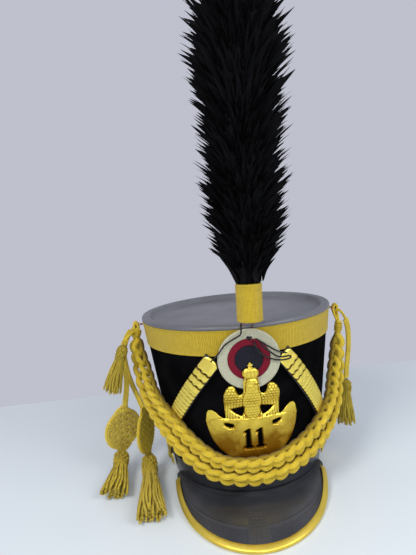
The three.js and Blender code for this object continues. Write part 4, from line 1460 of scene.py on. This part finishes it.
def braided_tape(route, facing):
    """Eight fine cords plaited flat: each one weaves from edge to edge and back again."""
    frames = carried_frames(route, facing)
    last = len(route) - 1
    length = route_length(route)
    parts = []
    for number in range(8):
        way = []
        for step in range(last + 1):
            phase = step / last * length / 16 + number / 8
            swing = 2 * abs(2 * (phase % 1) - 1) - 1
            layer = 0.75 * math.sin(phase * math.tau * 4)
            across, outward = frames[step]
            way.append(route[step] + across * (swing * (TAPE_WIDTH / 2 - 1.2)) + outward * layer)
        parts.append(strand(smooth_route(way, last), 8, 1.15, chart_wide=7))
    return gathered(parts)


for name, spots in SIDE_ROUTES.items():
    route = smooth_route(spots, 120)
    facing = [Vector((spot.x, spot.y - 250, 0)).normalized() for spot in route]
    tape = show(f"braided_cord_{name}", braided_tape(route, facing), UPRIGHT, tassel_yarn,
                [f"side_cord_{name}"], 70.0)
    route[0] * MM
    route_length(route) * MM
    [spot * MM for spot in route]

# ------------------------------------------------------------------ laces
# Thin round black laces tie the plume down: two ends run behind the straps and one loop lies over
# the right strap, all held by a small overhand knot above the cockade.
LACE_RADIUS = 0.9
LACE_ROUTES = {
    "left": [(0, 206.5, 17.5), (0, 203, 12.5), (0, 198, 9), (-0.4, 193, 8.4), (-3, 189.5, 8.6),
             (-8, 183, 9.6), (-11.5, 174, 11), (-14.2, 168, 11.4), (-16, 164.5, 8.5)],
    "right": [(6.6, 187, 8.4), (9, 183, 8.8), (12.5, 177, 9.6), (16, 171.5, 10.9), (19, 168.5, 12),
              (21.5, 167, 10.5)],
    "loop": [(5.6, 184, 8.6), (6.4, 178, 8.8), (8.5, 170.5, 9), (12.2, 164.5, 9.8), (17, 160.5, 11.2),
             (21.5, 159.8, 12), (23.6, 161.2, 12), (22.5, 163.4, 12.6), (19, 163.8, 13), (16, 165.5, 12.4),
             (13, 171, 11.8), (10, 177, 11.2), (8.4, 182, 10.8)],
}


def lacing_finish():
    """Waxed black cord with a slight gloss and a fine twist."""
    lacing = Finish("waxed_lace", {"Specular IOR Level": 0.35})
    around, along = lacing.chart()
    ply = ((around / 0.0014 + along / 0.0022) * math.tau).maths("SINE")
    lacing.surface({"Base Color": lacing.blend(ply * 0.5 + 0.5, (0.002, 0.002, 0.0025, 1),
                                               (0.008, 0.008, 0.009, 1)),
                    "Roughness": 0.22 + 0.15 * lacing.noise(400.0)})
    lacing.relief(ply, 0.00015)
    return lacing.material


def lace_knot_shape():
    """An overhand knot: the lace crosses itself three times in a small trefoil."""
    middle = stood(on_body(3.4, 188.6, 10.2))
    way = []
    for i in range(49):
        turn = math.tau * i / 48
        aside = 0.86 * (math.sin(turn) + 2 * math.sin(2 * turn))
        way.append(middle + Vector((aside, 0.75 * math.sin(3 * turn),
                                    0.62 * (math.cos(turn) - 2 * math.cos(2 * turn)))))
    return strand(smooth_route(way, 160), 10, LACE_RADIUS, chart_wide=5.6)


waxed_lace = lacing_finish()
lace_knot = show("overhand_knot", lace_knot_shape(), UPRIGHT, waxed_lace, ["lace_knot"], 70.0)
for name, rows in LACE_ROUTES.items():
    route = smooth_route([stood(on_body(angle, height, out)) for angle, height, out in rows], 90)
    lace = show(f"black_lace_{name}", strand(route, 12, LACE_RADIUS, chart_wide=5.6), UPRIGHT, waxed_lace,
                [f"lace_{name}"], 70.0)
    route[0] * MM
    route_length(route) * MM
    [spot * MM for spot in route]
